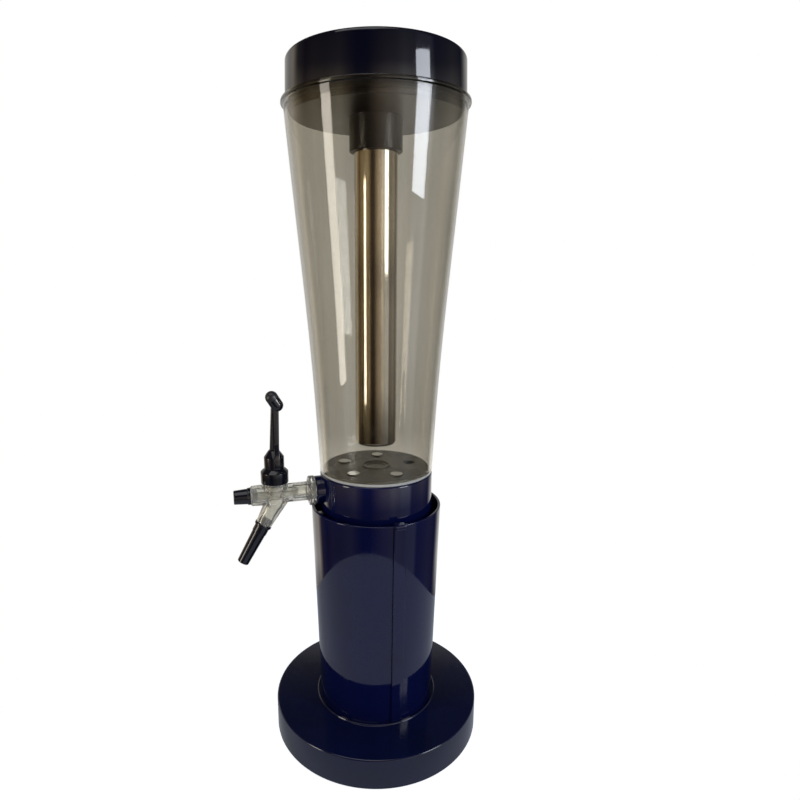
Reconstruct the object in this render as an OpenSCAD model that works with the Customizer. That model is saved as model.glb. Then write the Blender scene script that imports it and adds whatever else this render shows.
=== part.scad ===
// Table-top drinks tower: a weighted round foot carries a sleeved column, a tall clear
// tank stands in the column on a ring collar, and a lever tap draws from the collar's sump.
// A lid with a hanging steel ice tube closes the tank.
// Origin: on the tower's axis, on the surface it stands on. +Z is up, the tap points to -Y.

/* [Foot] */
// Radius of the round foot
foot_r = 100; // [92:1:130]
// Height of the foot's top face
foot_h = 30; // [27:1:45]
// Wall of the moulded foot shell
foot_wall = 3; // [2.5:0.5:4]
// Rounding of the foot's top edge
foot_edge = 1.6; // [0.6:0.2:2.4]
// Lift of the shell's rim above the surface
rim_lift = 1; // [0.5:0.5:1.5]
// Thickness of the rubber pad
pad_t = 2; // [1.8:0.2:4]
// Thickness of the bottom plate
plate_t = 2.2; // [2:0.2:4]
// Height of the ballast ring
ballast_h = 11; // [6:1:14]
// Number of screws that close the foot
foot_screws = 6; // [4:1:8]

/* [Column] */
// Height of the load-bearing tube inside the column
core_h = 168; // [150:1:200]
// Outer radius of that tube
core_r = 50; // [46:0.5:56]
// Wall of that tube
core_wall = 3; // [2.6:0.1:3.4]
// Depth of the sleeve's top below the collar's rim
sleeve_drop = 32.6; // [29:0.2:44]
// Gap between that tube and the sleeve at its foot
sleeve_gap_foot = 3.1; // [2.6:0.1:8]
// Gap between the collar and the sleeve at its top
sleeve_gap_top = 6.2; // [5:0.1:10]
// Thickness of the sleeve's sheet
sleeve_wall = 2.4; // [1.6:0.1:2.4]
// Width of the strip that laps over the sleeve's seam
lap_w = 11; // [9:0.5:16]
// Thickness of that strip
lap_t = 1.6; // [1:0.1:2.2]
// Angle of the seam round the axis, from +X
seam_at = 4; // [-40:1:40]

/* [Collar] */
// Height of the collar's visible drum
collar_h = 64; // [58:1:74]
// Step of the collar's drum beyond the column's tube
collar_step = 2.8; // [2:0.1:4]
// Rounding of the collar's top edge
collar_edge = 1.8; // [0.6:0.2:2]
// Wall of the collar round the sump
collar_wall = 5.9; // [5.2:0.1:6.6]
// Depth of the sump below the collar's rim
sump_depth = 34; // [30:0.5:40]
// Thickness of the sump's floor
sump_floor_t = 3; // [2:0.5:4]
// Length of the spigot that drops into the column
spigot_len = 22; // [14:1:30]

/* [Tank] */
// Height of the clear tank above the collar
tank_h = 321.3; // [280:0.1:360]
// Step from the collar's side in to the tank's foot
tank_step = 0.2; // [0:0.1:0.8]
// Outer radius under the tank's rim
tank_r_top = 77.6; // [70:0.1:84]
// Wall of the tank
tank_wall = 2.5; // [2:0.1:3]
// Hollow of the flank against a straight cone
flank_sag = 1.9; // [0:0.1:3]
// Shift of that hollow towards the foot
flank_skew = 0.5; // [0:0.1:0.8]
// Reach of the rim's flange beyond the wall
rim_reach = 2; // [1.4:0.1:4]
// Thickness of the rim's flange
rim_t = 3.1; // [2:0.1:5]
// Thickness of the tank's floor plate
tank_floor_t = 2; // [1.6:0.1:3]
// Number of drain holes in the floor
drains = 5; // [3:1:8]
// Radius of a drain hole
drain_r = 3.2; // [2:0.1:3.8]
// Circle that the drain holes lie on
drain_circle = 33; // [26:0.5:38]

/* [Lid] */
// Height of the lid's cap above the rim
lid_h = 32.7; // [28:0.1:45]
// Gap between the lid's insert and the tank's wall, which the seal closes
insert_gap = 2.5; // [1.8:0.1:2.6]
// Inward lean of the cap's side over its height
lid_draft = 0.9; // [0:0.1:2]
// Rounding of the cap's top edge
lid_edge = 3.6; // [2:0.2:6]
// Wall of the lid's mouldings
lid_wall = 2.6; // [2.2:0.1:3]
// Depth of the lid's insert below the rim
insert_drop = 11.3; // [9:0.1:16]
// Depth of the tube's socket below the rim
socket_drop = 38.9; // [30:0.1:50]
// Wall of the socket
socket_wall = 3.7; // [2.6:0.1:5]
// Outer radius of the steel ice tube
tube_r = 19; // [15:0.1:24]
// Wall of the ice tube
tube_wall = 0.8; // [0.6:0.1:1.4]
// Clear height between the ice tube and the tank's floor
tube_foot_gap = 22.8; // [8:0.2:60]
// Height of the ice tube's mouth above the rim
tube_mouth_rise = 6.7; // [4:0.1:10]

/* [Tap] */
// Depth of the tap's axis below the collar's rim
tap_drop = 15; // [13.8:0.1:17]
// Reach of the collar's boss beyond the drum
boss_reach = 6; // [4:0.5:10]
// Radius of that boss
boss_r = 13; // [12:0.2:13.6]
// Radius of the tap's flange
flange_r = 13.6; // [12.6:0.1:15]
// Thickness of the tap's flange
flange_t = 5.4; // [3:0.2:7]
// Distance from the flange's front to the lever's pivot
pivot_reach = 30.6; // [28:0.2:40]
// Radius of the pot under the bonnet
pot_r = 11.6; // [11.2:0.1:12.6]
// Radius of the shank between the flange and the pot
shank_r = 8.6; // [8:0.1:10]
// Radius of the threaded shank in the collar
thread_r = 7.4; // [7:0.1:8]
// Radius of the water way in the shank
bore_r = 5.4; // [5.2:0.1:5.8]
// Distance from the pivot to the front of the tap's barrel
barrel_reach = 21.4; // [20:0.2:28]
// Radius of the barrel
barrel_r = 9; // [8:0.1:10]
// Lean of the spout from the vertical
spout_lean = 29.8; // [15:0.2:40]
// Length of the clear spout arm from the tap's axis
arm_len = 31.8; // [29:0.2:40]
// Length of the nozzle beyond the arm
nozzle_len = 40.7; // [20:0.1:60]
// Radius of the nozzle's bore
nozzle_bore_r = 3.9; // [3:0.1:4.1]
// Height of the bonnet nut's straight side
bonnet_h = 10.2; // [9:0.1:11]
// Step of the bonnet nut beyond the pot
bonnet_step = 0.85; // [0.4:0.05:1.2]

/* [Lever] */
// Swing of the lever from shut to open
lever_swing = 22; // [12:0.5:22]
// Radius of the lever's cup
cup_r = 9; // [8.8:0.05:10]
// Height of the cup's shoulder above the tap's axis
cup_rise = 35.4; // [32:0.2:42]
// Height of the lever's head above the tap's axis
head_rise = 87.7; // [62:0.1:110]
// Width of the stem across the tap's plane
stem_w = 7; // [6:0.2:8]
// Depth of the stem at its foot, along the tap's plane
stem_d_foot = 8.5; // [7.4:0.1:9]
// Depth of the stem at its head
stem_d_head = 6.7; // [6:0.1:7.4]
// Width of the fin along the stem's front
fin_w = 3.6; // [2.4:0.2:5]
// Radius of the lever's head
head_r = 5.7; // [5.4:0.1:7]
// Tilt of the head above the horizontal
head_tilt = 59; // [40:0.5:75]

/* [Hidden] */

fine = 96;
small = 48;
over = 0.01;          // overlap of shapes that are fused
cut = 1;              // overrun of a cutter
bite = 1;             // how far a rib or key runs into the wall that it grows from
fit = 0.3;            // free gap between parts that lift apart
thread_fit = 0.1;     // gap between a screwed part and its thread
slide_fit = 0.05;     // gap of a running fit

// heights, from the surface up
plate_top = pad_t + plate_t;
core_top = foot_h + core_h;
collar_top = core_top + collar_h;
sleeve_top = collar_top - sleeve_drop;
sleeve_h = sleeve_top - foot_h;
sump_z = collar_top - sump_depth;
tap_z = collar_top - tap_drop;
rim_top = collar_top + tank_h;
rim_bottom = rim_top - rim_t;
lid_top = rim_top + lid_h;

// radii round the tower's axis
core_in = core_r - core_wall;
collar_r = core_r + collar_step;
sump_r = collar_r - collar_wall;
sleeve_r_foot = core_r + sleeve_gap_foot + sleeve_wall;
sleeve_r_top = collar_r + sleeve_gap_top + sleeve_wall;
tank_r_foot = collar_r - tank_step;

// foot
foot_in = foot_r - foot_wall;
pad_inset = 3;
foot_boss_r = 5;
foot_boss_inset = 9;
foot_boss_circle = foot_in - foot_boss_inset;
pilot_r = 1.7;
screw_r = 1.6;
screw_head_r = 3.4;
screw_head_t = 2;
foot_screw_len = 13;
ballast_gap = 1.5;
ballast_hole_r = 30;
foot_ring_w = 1.5;
foot_ring_h = 1.2;
foot_ring_lean = 0.4;
foot_ring_r = sleeve_r_foot + lap_t + 2 * fit;

// column
core_boss_r = 5.2;
core_boss_h = 15;
core_boss_inset = 4;
core_boss_circle = core_in - core_boss_inset;
core_screw_angle = 45;
core_screw_len = 12;
core_foot_t = 3;
fins = 6;
fin_angle = 35;
fin_t = 2.4;
fin_short = 20;
fin_h = core_h - fin_short;
key_w = 9;
key_h = 24;
key_lift = 2;
key_gap = 1;
key_reach = 3.6;
key_r = collar_r + key_reach;
post_t = 3;
post_rise = 14;
post_drop = 22;
lap_join = 2.5;
lap_over = 5;
clip_w = 9;
clip_t = 1.3;
clip_depth = 6;
clip_lean = 0.25;
sleeve_edge = 0.5;    // chamfer of the sleeve's rim and of the clip

// collar and tank
seat_step = 4;
gasket_t = 1;
ledge_z = collar_top - seat_step;
mouth_wall = 3.4;
wall_bite = 2.3;      // how far the tap's boss runs into the drum's wall
collar_mouth_r = collar_r - mouth_wall;
tank_spigot_r = collar_mouth_r - fit;
spigot_r = core_in - fit;
spigot_wall = 3;
spigot_edge = 1;
floor_lift = 2;       // thickness of the ledge that the floor plate sits on
floor_under = collar_top + floor_lift;
floor_top = floor_under + tank_floor_t;
foot_lip = 0.8;       // height of the tank's foot below its flank
rim_edge = 0.5;
hub_r = 13.5;
hub_h = 1.1;
hub_w = 2;
hub_lean = 0.3;
gate_r = 8.5;
gate_lean = 0.6;
gate_sink = 0.8;
drain_sink = 1.2;
drain_flare = 2.6;
flank_steps = 22;

// lid
insert_z = rim_top - insert_drop;
insert_t = 3;
insert_rise = 14.7;
insert_edge = 1.2;
insert_wall_r = tank_r_top - tank_wall - insert_gap;
insert_top = rim_top + insert_rise;
cap_gap = 0.7;
cap_foot_edge = 0.3;
shelf_rise = 2;
shelf_lean = 1;
lid_r = insert_wall_r + cap_gap + lid_wall;
socket_r = tube_r + socket_wall;
socket_z = rim_top - socket_drop;
tube_mouth = rim_top + tube_mouth_rise;
tube_foot = floor_top + tube_foot_gap;
tube_seal_t = 1.5;
tube_seal_w = 3.5;
socket_roof_t = 2.5;
socket_top = tube_mouth + tube_seal_t + socket_roof_t;
tube_round = 3;
seal_rise = 4.5;
seal_z = insert_z + seal_rise;
seal_h = 3;
seal_depth = 1.4;
webs = 6;
web_h = 12;

// tap, in its own frame: s runs outward from the tower's axis, h is above the tap's axis
ball_r = 6;
block_r = 5;
pivot_rise = block_r + ball_r;
seat_pad_in = 2.1;
seat_pad_s = sump_r - seat_pad_in;
seat_pad_gap = 0.2;
seat_pad_r = tap_drop - seat_step - seat_pad_gap;
nut_t = 6.3;
nut_r = 11.5;
boss_s = collar_r + boss_reach;
gasket_s = 0.8;
gasket_inset = 0.4;
flange_s = boss_s + gasket_s;
flange_face = flange_s + flange_t;
flange_chamfer = 1.3;
pivot_s = flange_face + pivot_reach;
shank_past = 2;
shank_end = seat_pad_s - nut_t - shank_past;
barrel_s = pivot_s + barrel_reach;
barrel_in = 5.7;
barrel_draft = 1;
seat_back = 15.6;
valve_seat_s = pivot_s - seat_back;
throat_r = 4.2;
throat_len = 4.5;
pot_rise = 0.5;
pot_top = pivot_rise + pot_rise;
pot_low = 4;
neck_r = 9.6;
neck_rise = 8;
neck_top = pivot_rise + neck_rise;
chamber_r = 6.4;
chamber_low = 7;
ball_bore = 7.3;
ball_seat_h = pivot_rise - ball_r;
ball_seat_t = 3;
ball_seat_in = 5;
arm_root_r = 10.4;
arm_tip_r = 7.3;
arm_back = 4.4;
arm_bore_r = 4.6;
arm_bore_from = 3;
nozzle_socket_r = 5.6;
nozzle_spigot = 7;
nozzle_ring_r = 7.9;
nozzle_ring_t = 2.2;
nozzle_neck_r = 6.8;
nozzle_neck_len = 6.7;
nozzle_neck_step = 0.4;
nozzle_tip_r = 5.4;
nozzle_edge = 0.6;

// bonnet: a dome about the pivot that the lever's cup glides over
bonnet_r = pot_r + bonnet_step;
dome_r = norm([bonnet_r, pot_top + bonnet_h - pivot_rise]);
bonnet_ring_gap = 0.25;
bonnet_ring_r = ball_bore - bonnet_ring_gap;
bonnet_ring_rise = 3;
stalk_r = 2.6;
stalk_gap = 0.4;
stalk_root = 3.5;
stalk_side_gap = 0.1;
stalk_root_drop = 0.5;
finger_r = 1.8;
finger_tip_r = 2.4;

// lever
cup_low = 4;
cup_cone = 6.2;
cup_neck_r = 4.6;
cup_gap = 0.35;
stem_back_foot = 4.5; // how far the stem's back lies behind the pivot, at its foot
stem_back_head = 5.5; // and at its head
bar_front = 0.4;      // how far the stem's bar reaches in front of the pivot
rib_step = 0.4;
rib_low = 25;
rib_rise = 12;
cap_skirt = 2.4;
cap_peg_r = 3.6;
cap_peg_len = 4;
cap_peg_gap = 0.5;
head_back = 6.3;
head_out = 1;

// valve shaft
shaft_r = 2.6;
washer_t = 3;
washer_r = 4.9;
shaft_head_r = 3.9;
shaft_head_t = 2;
block_half = 6.6;
slot_play = 0.6;
slot_half = finger_tip_r + slot_play;
slot_w = 2 * (finger_tip_r + fit);
slot_low = -finger_tip_r - slot_play;
slot_top = block_r + cut;
slot_front_gap = 0.4;
slot_front = slot_top * tan(lever_swing) + finger_r / cos(lever_swing) + slot_front_gap;
rod_r = 3.3;
plug_in = 5;
plug_s = barrel_s - plug_in;
rod_gap = 0.6;
rod_len = plug_s - pivot_s - block_half - rod_gap;
tail_r = 2;
tail_len = 13.5;
plug_seal_t = 1;
plug_seal_out = 0.4;
plug_ring_r = 7.7;
plug_ring_t = 2.5;
plug_body_r = 7;
plug_tip_r = 6.25;
plug_body_len = 12.3;
plug_edge = 0.8;

navy = "midnightblue";
clear_grey = "gainsboro";
rubber_black = "dimgray";
steel = "silver";

// radius of the sleeve's outside at height z
function sleeve_r(z) = sleeve_r_foot + (sleeve_r_top - sleeve_r_foot) * (z - foot_h) / sleeve_h;

// degrees that a width spans round the sleeve at its middle
function sleeve_deg(w) = w / sleeve_r(foot_h + sleeve_h / 2) * 180 / PI;

// radius of the tank's outside at a share t of its height: a cone drawn in low down
function flank_r(t) = tank_r_foot + (tank_r_top - tank_r_foot) * t
    - flank_sag * sin(180 * t) - flank_skew * sin(360 * t);

// that radius at height z
function tank_r(z) = flank_r(max(0, min(1, (z - collar_top) / (rim_bottom - collar_top))));

// points of an arc
function arc(cx, cy, r, from, to, steps = 8) = [
    for (i = [0:steps]) let (a = from + (to - from) * i / steps) [cx + r * cos(a), cy + r * sin(a)]
];

// copies spaced evenly round the tower's axis
module around(count, first = 0) {
    for (i = [0:count - 1]) rotate([0, 0, first + i * 360 / count]) children();
}

// a disc ring
module ring(r_out, r_in, h) {
    difference() {
        cylinder(r = r_out, h = h, $fn = fine);
        translate([0, 0, -cut]) cylinder(r = r_in, h = h + 2 * cut, $fn = fine);
    }
}

// a flat plate in the plane through the axis, drawn as radius and height
module radial_plate(thickness, points) {
    rotate([90, 0, 0]) translate([0, 0, -thickness / 2])
        linear_extrude(height = thickness) polygon(points);
}

// moves a shape drawn along +Z onto the tap's axis, its zero at distance s from the tower
module on_tap(s) {
    translate([0, -s, tap_z]) rotate([90, 0, 0]) children();
}

// moves a shape drawn along +Z onto the spout's axis, its zero at the arm's root
module on_spout(d = 0) {
    translate([0, -(pivot_s - arm_back), tap_z]) rotate([180 - spout_lean, 0, 0])
        translate([0, 0, d]) children();
}

// moves a shape drawn above the pot's centre
module on_pot(h) {
    translate([0, -pivot_s, tap_z + h]) children();
}

/* ---- foot ---- */

module base_pad() {
    color(rubber_black) cylinder(r = foot_in - pad_inset, h = pad_t, $fn = fine);
}

module base_plate() {
    color("slategray") difference() {
        translate([0, 0, pad_t]) cylinder(r = foot_in - fit, h = plate_t, $fn = fine);
        around(foot_screws) translate([foot_boss_circle, 0, pad_t - over])
            cylinder(r1 = screw_head_r + slide_fit, r2 = screw_r + slide_fit, h = screw_head_t, $fn = small);
        around(foot_screws) translate([foot_boss_circle, 0, pad_t])
            cylinder(r = screw_r + slide_fit, h = plate_t + cut, $fn = small);
    }
}

module base_screws() {
    color(steel) around(foot_screws) translate([foot_boss_circle, 0, pad_t]) {
        cylinder(r1 = screw_head_r, r2 = screw_r, h = screw_head_t, $fn = small);
        cylinder(r = screw_r, h = foot_screw_len, $fn = small);
    }
}

module base_ballast() {
    color("darkslategray") translate([0, 0, plate_top])
        ring(foot_boss_circle - foot_boss_r - ballast_gap, ballast_hole_r, ballast_h);
}

module base_shell() {
    color(navy) difference() {
        union() {
            rotate_extrude($fn = fine) polygon(concat(
                [[0, foot_h - foot_wall], [foot_in, foot_h - foot_wall], [foot_in, rim_lift],
                 [foot_r, rim_lift]],
                arc(foot_r - foot_edge, foot_h - foot_edge, foot_edge, 0, 90),
                [[foot_ring_r + foot_ring_w, foot_h],
                 [foot_ring_r + foot_ring_w - foot_ring_lean, foot_h + foot_ring_h],
                 [foot_ring_r, foot_h + foot_ring_h], [foot_ring_r, foot_h], [0, foot_h]]
            ));
            around(foot_screws) translate([foot_boss_circle, 0, plate_top])
                cylinder(r = foot_boss_r, h = foot_h - foot_wall - plate_top + over, $fn = small);
        }
        around(foot_screws) translate([foot_boss_circle, 0, plate_top - cut])
            cylinder(r = pilot_r, h = foot_screw_len + cut, $fn = small);
        around(4, core_screw_angle) translate([core_boss_circle, 0, foot_h - foot_wall - cut])
            cylinder(r = screw_r + fit, h = foot_wall + 2 * cut, $fn = small);
    }
}

/* ---- column ---- */

module core_screws() {
    color(steel) around(4, core_screw_angle) translate([core_boss_circle, 0, foot_h - foot_wall]) {
        translate([0, 0, -screw_head_t]) cylinder(r = screw_head_r, h = screw_head_t, $fn = small);
        translate([0, 0, -over]) cylinder(r = screw_r, h = core_screw_len, $fn = small);
    }
}

module column_core() {
    foot_flange_r = sleeve_r_foot - sleeve_wall - fit;
    fin_foot = foot_h + core_foot_t - over;
    color("darkslateblue") difference() {
        union() {
            translate([0, 0, foot_h]) ring(core_r, core_in, core_h);
            translate([0, 0, foot_h]) ring(foot_flange_r, core_in, core_foot_t);
            around(4, core_screw_angle) intersection() {
                translate([core_boss_circle, 0, foot_h])
                    cylinder(r = core_boss_r, h = core_boss_h, $fn = small);
                translate([0, 0, foot_h]) cylinder(r = core_in + bite, h = core_boss_h, $fn = fine);
            }
            around(fins, fin_angle) radial_plate(fin_t, [
                [core_in + bite, fin_foot], [sleeve_r(fin_foot) - sleeve_wall - fit, fin_foot],
                [sleeve_r(fin_foot + fin_h) - sleeve_wall - fit, fin_foot + fin_h],
                [core_in + bite, fin_foot + fin_h]
            ]);
            for (side = [-90, 90], way = [-1, 1]) rotate([0, 0, side])
                translate([0, way * (key_w / 2 + key_gap + post_t / 2), 0]) radial_plate(post_t, [
                    [core_in + bite, core_top - post_drop], [key_r, core_top - post_drop],
                    [key_r, core_top + post_rise], [collar_r + 2 * fit, core_top + post_rise],
                    [collar_r + 2 * fit, core_top], [core_in + bite, core_top]
                ]);
        }
        around(4, core_screw_angle) translate([core_boss_circle, 0, foot_h - cut])
            cylinder(r = pilot_r, h = core_screw_len + cut, $fn = small);
    }
}

// a sector of the sleeve's cone, from the radius offset "inner" to "outer" off its outside
module sleeve_sector(inner, outer, from, to) {
    rotate([0, 0, from]) rotate_extrude(angle = to - from, $fn = fine) polygon([
        [sleeve_r_foot + inner, foot_h], [sleeve_r_foot + outer, foot_h],
        [sleeve_r_top + outer, sleeve_top - sleeve_edge], [sleeve_r_top + outer - sleeve_edge, sleeve_top],
        [sleeve_r_top + inner + sleeve_edge, sleeve_top], [sleeve_r_top + inner, sleeve_top - sleeve_edge]
    ]);
}

module column_sleeve() {
    left = seam_at - sleeve_deg(lap_w) / 2;
    right = seam_at + sleeve_deg(lap_w) / 2;
    join = right - sleeve_deg(lap_join);
    color(navy) union() {
        sleeve_sector(-sleeve_wall, 0, join, 360 + left + sleeve_deg(lap_over));
        sleeve_sector(fit, fit + lap_t, left, right);
        sleeve_sector(-sleeve_wall / 2, fit + lap_t, join, right);
    }
}

module sleeve_clip() {
    half = sleeve_deg(clip_w) / 2;
    inner = sleeve_r_top - sleeve_wall - fit;
    outer = sleeve_r_top + fit + lap_t + fit;
    color(navy) rotate([0, 0, seam_at - half]) rotate_extrude(angle = 2 * half, $fn = fine) polygon([
        [inner - clip_t, sleeve_top - clip_depth], [inner - clip_lean, sleeve_top - clip_depth],
        [inner, sleeve_top], [outer, sleeve_top], [outer, sleeve_top - clip_depth / 2],
        [outer + clip_t, sleeve_top - clip_depth / 2], [outer + clip_t, sleeve_top + clip_t - sleeve_edge],
        [outer + clip_t - sleeve_edge, sleeve_top + clip_t], [inner - clip_t + sleeve_edge, sleeve_top + clip_t],
        [inner - clip_t, sleeve_top + clip_t - sleeve_edge]
    ]);
}

/* ---- collar and tank ---- */

module collar() {
    color(navy) difference() {
        union() {
            rotate_extrude($fn = fine) polygon(concat(
                [[spigot_r - spigot_wall, sump_z - sump_floor_t],
                 [spigot_r - spigot_wall, core_top - spigot_len], [spigot_r - spigot_edge, core_top - spigot_len],
                 [spigot_r, core_top - spigot_len + spigot_edge], [spigot_r, core_top], [collar_r, core_top]],
                arc(collar_r - collar_edge, collar_top - collar_edge, collar_edge, 0, 90),
                [[collar_mouth_r, collar_top], [collar_mouth_r, ledge_z], [sump_r, ledge_z],
                 [sump_r, sump_z - sump_floor_t]]
            ));
            on_tap(collar_r - wall_bite) cylinder(r = boss_r, h = boss_reach + wall_bite, $fn = fine);
            on_tap(seat_pad_s) cylinder(r = seat_pad_r, h = collar_r - wall_bite - seat_pad_s, $fn = fine);
            for (side = [-90, 90]) rotate([0, 0, side])
                translate([collar_r - bite, -key_w / 2, core_top + key_lift]) cube([key_reach + bite, key_w, key_h]);
        }
        on_tap(seat_pad_s - cut)
            cylinder(r = thread_r + thread_fit, h = boss_s - seat_pad_s + 2 * cut, $fn = small);
    }
}

module sump_floor() {
    color(navy) translate([0, 0, sump_z - sump_floor_t])
        cylinder(r = sump_r - slide_fit, h = sump_floor_t, $fn = fine);
}

module tank_gasket() {
    color(rubber_black) translate([0, 0, ledge_z])
        ring(tank_spigot_r, sump_r + fit, gasket_t);
}

module tank() {
    color(clear_grey, 0.35) rotate_extrude($fn = fine) polygon(concat(
        [[sump_r, floor_under], [sump_r, ledge_z + gasket_t],
         [tank_spigot_r, ledge_z + gasket_t], [tank_spigot_r, collar_top],
         [tank_r_foot - foot_lip, collar_top]],
        [for (i = [0:flank_steps])
            let (z = collar_top + foot_lip + (rim_bottom - collar_top - foot_lip) * i / flank_steps)
            [tank_r(z), z]],
        [[tank_r_top + rim_reach - rim_edge, rim_bottom], [tank_r_top + rim_reach, rim_bottom + rim_edge],
         [tank_r_top + rim_reach, rim_top - rim_edge], [tank_r_top + rim_reach - rim_edge, rim_top],
         [tank_r_top - tank_wall, rim_top]],
        [for (i = [0:flank_steps]) let (z = rim_bottom + (floor_under - rim_bottom) * i / flank_steps)
            [tank_r(z) - tank_wall, z]]
    ));
}

module tank_floor() {
    color(clear_grey, 0.35) difference() {
        rotate_extrude($fn = fine) polygon([
            [0, floor_under], [tank_r(floor_under) - tank_wall - slide_fit, floor_under],
            [tank_r(floor_under) - tank_wall - slide_fit, floor_top], [hub_r, floor_top],
            [hub_r - hub_lean, floor_top + hub_h], [hub_r - hub_w, floor_top + hub_h],
            [hub_r - hub_w - hub_lean, floor_top], [gate_r, floor_top],
            [gate_r - gate_lean, floor_top - gate_sink], [0, floor_top - gate_sink]
        ]);
        around(drains, 90) translate([drain_circle, 0, floor_under - cut])
            cylinder(r = drain_r, h = tank_floor_t + 2 * cut, $fn = small);
        around(drains, 90) translate([drain_circle, 0, floor_top - drain_sink])
            cylinder(r1 = drain_r, r2 = drain_r + drain_flare, h = drain_sink + over, $fn = small);
    }
}

/* ---- tap ---- */

module tap_gasket() {
    color(rubber_black) on_tap(boss_s) ring(boss_r - gasket_inset, thread_r + thread_fit, gasket_s);
}

module tap_nut() {
    color("ghostwhite") on_tap(seat_pad_s - nut_t) difference() {
        cylinder(r = nut_r, h = nut_t, $fn = 6);
        translate([0, 0, -cut]) cylinder(r = thread_r + thread_fit, h = nut_t + 2 * cut, $fn = small);
    }
}

module tap_body() {
    color(clear_grey, 0.5) difference() {
        union() {
            on_tap(shank_end) cylinder(r = thread_r, h = flange_s - shank_end + over, $fn = small);
            on_tap(flange_s) rotate_extrude($fn = fine) polygon([
                [0, 0], [flange_r, 0], [flange_r, flange_t - flange_chamfer],
                [flange_r - flange_chamfer, flange_t], [0, flange_t]
            ]);
            on_tap(flange_face - over) cylinder(r = shank_r, h = pivot_reach, $fn = fine);
            on_pot(-pot_low) cylinder(r = pot_r, h = pot_top + pot_low, $fn = fine);
            on_pot(-pot_low) sphere(r = pot_r, $fn = fine);
            on_pot(pot_top - over) cylinder(r = neck_r, h = neck_top - pot_top + over, $fn = fine);
            on_tap(pivot_s) cylinder(r1 = barrel_r + barrel_draft, r2 = barrel_r, h = barrel_reach, $fn = fine);
            on_spout() cylinder(r1 = arm_root_r, r2 = arm_tip_r, h = arm_len, $fn = fine);
        }
        on_tap(shank_end - cut) cylinder(r = bore_r, h = valve_seat_s - shank_end + cut, $fn = small);
        on_tap(valve_seat_s - over) cylinder(r = throat_r, h = throat_len + 2 * over, $fn = small);
        on_tap(valve_seat_s + throat_len)
            cylinder(r = barrel_in, h = barrel_s - valve_seat_s - throat_len + cut, $fn = small);
        on_pot(-chamber_low) cylinder(r = chamber_r, h = ball_seat_h + chamber_low, $fn = small);
        on_pot(ball_seat_h - over) cylinder(r = ball_bore, h = neck_top - ball_seat_h + cut, $fn = small);
        on_spout(arm_bore_from) cylinder(r = arm_bore_r, h = arm_len, $fn = small);
        on_spout(arm_len - nozzle_spigot) cylinder(r = nozzle_socket_r, h = nozzle_spigot + cut, $fn = small);
    }
}

module ball_seat() {
    color("white") difference() {
        on_pot(ball_seat_h) ring(ball_bore - thread_fit, ball_seat_in, ball_seat_t);
        on_pot(pivot_rise) sphere(r = ball_r + slide_fit, $fn = small);
    }
}

// the slot that the lever's stalk swings in, open from inside the ball's hollow
module stalk_way(r) {
    reach = dome_r + cut;
    half = r - stalk_side_gap;
    for (swing = [0, lever_swing]) on_pot(pivot_rise) rotate([swing, 0, 0])
        translate([0, 0, stalk_root]) cylinder(r = r, h = reach - stalk_root, $fn = small);
    on_pot(pivot_rise) rotate([90, 0, -90]) translate([0, 0, -half]) linear_extrude(height = 2 * half)
        polygon([
            [0, stalk_root - stalk_root_drop], [0, reach], [reach * tan(lever_swing / 2), reach],
            [reach * sin(lever_swing), reach * cos(lever_swing)]
        ]);
}

module bonnet_nut() {
    dome_low = bonnet_h + pot_top - pivot_rise;
    dome_from = asin(dome_low / dome_r);
    ball_way = ball_r + fit;
    skirt_top = neck_top + fit - pivot_rise;
    color(navy) difference() {
        on_pot(pivot_rise) rotate_extrude($fn = fine) polygon(concat(
            [[neck_r + thread_fit, pot_top - pivot_rise], [bonnet_r, pot_top - pivot_rise]],
            arc(0, 0, dome_r, dome_from, 90),
            arc(0, 0, ball_way, 90, asin(bonnet_ring_rise / ball_way), 6),
            [[bonnet_ring_r, bonnet_ring_rise], [bonnet_ring_r, skirt_top], [neck_r + thread_fit, skirt_top]]
        ));
        stalk_way(stalk_r + stalk_gap);
    }
}

module plug_seal() {
    color(rubber_black) on_tap(barrel_s) ring(plug_ring_r + plug_seal_out, barrel_in, plug_seal_t);
}

module front_plug() {
    ring_s = plug_in + plug_seal_t;
    body_s = ring_s + plug_ring_t;
    tip_s = body_s + plug_body_len;
    color(navy) on_tap(plug_s) difference() {
        rotate_extrude($fn = fine) polygon([
            [0, 0], [barrel_in - thread_fit, 0], [barrel_in - thread_fit, ring_s], [plug_ring_r, ring_s],
            [plug_ring_r, body_s], [plug_body_r, body_s], [plug_tip_r, tip_s - plug_edge],
            [plug_tip_r - plug_edge, tip_s], [0, tip_s]
        ]);
        translate([0, 0, -cut]) cylinder(r = tail_r + slide_fit, h = plug_in + tail_len + cut, $fn = small);
    }
}

module spout_nozzle() {
    neck_end = nozzle_spigot + nozzle_ring_t + nozzle_neck_len;
    tip = nozzle_spigot + nozzle_len;
    color(navy) on_spout(arm_len - nozzle_spigot) difference() {
        rotate_extrude($fn = fine) polygon([
            [0, 0], [nozzle_socket_r - thread_fit, 0], [nozzle_socket_r - thread_fit, nozzle_spigot],
            [nozzle_ring_r, nozzle_spigot], [nozzle_ring_r, nozzle_spigot + nozzle_ring_t],
            [nozzle_neck_r, nozzle_spigot + nozzle_ring_t], [nozzle_neck_r, neck_end],
            [nozzle_neck_r - nozzle_neck_step, neck_end], [nozzle_tip_r, tip - nozzle_edge],
            [nozzle_tip_r - nozzle_edge, tip], [0, tip]
        ]);
        translate([0, 0, -cut]) cylinder(r = nozzle_bore_r, h = tip + 2 * cut, $fn = small);
    }
}

/* ---- lever ---- */

// places a shape on the head's axis, its zero at the rim under the cap
module on_head(d) {
    translate([0, head_out - pivot_s, tap_z + head_rise]) rotate([90 - head_tilt, 0, 0])
        translate([0, 0, d]) children();
}

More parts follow.
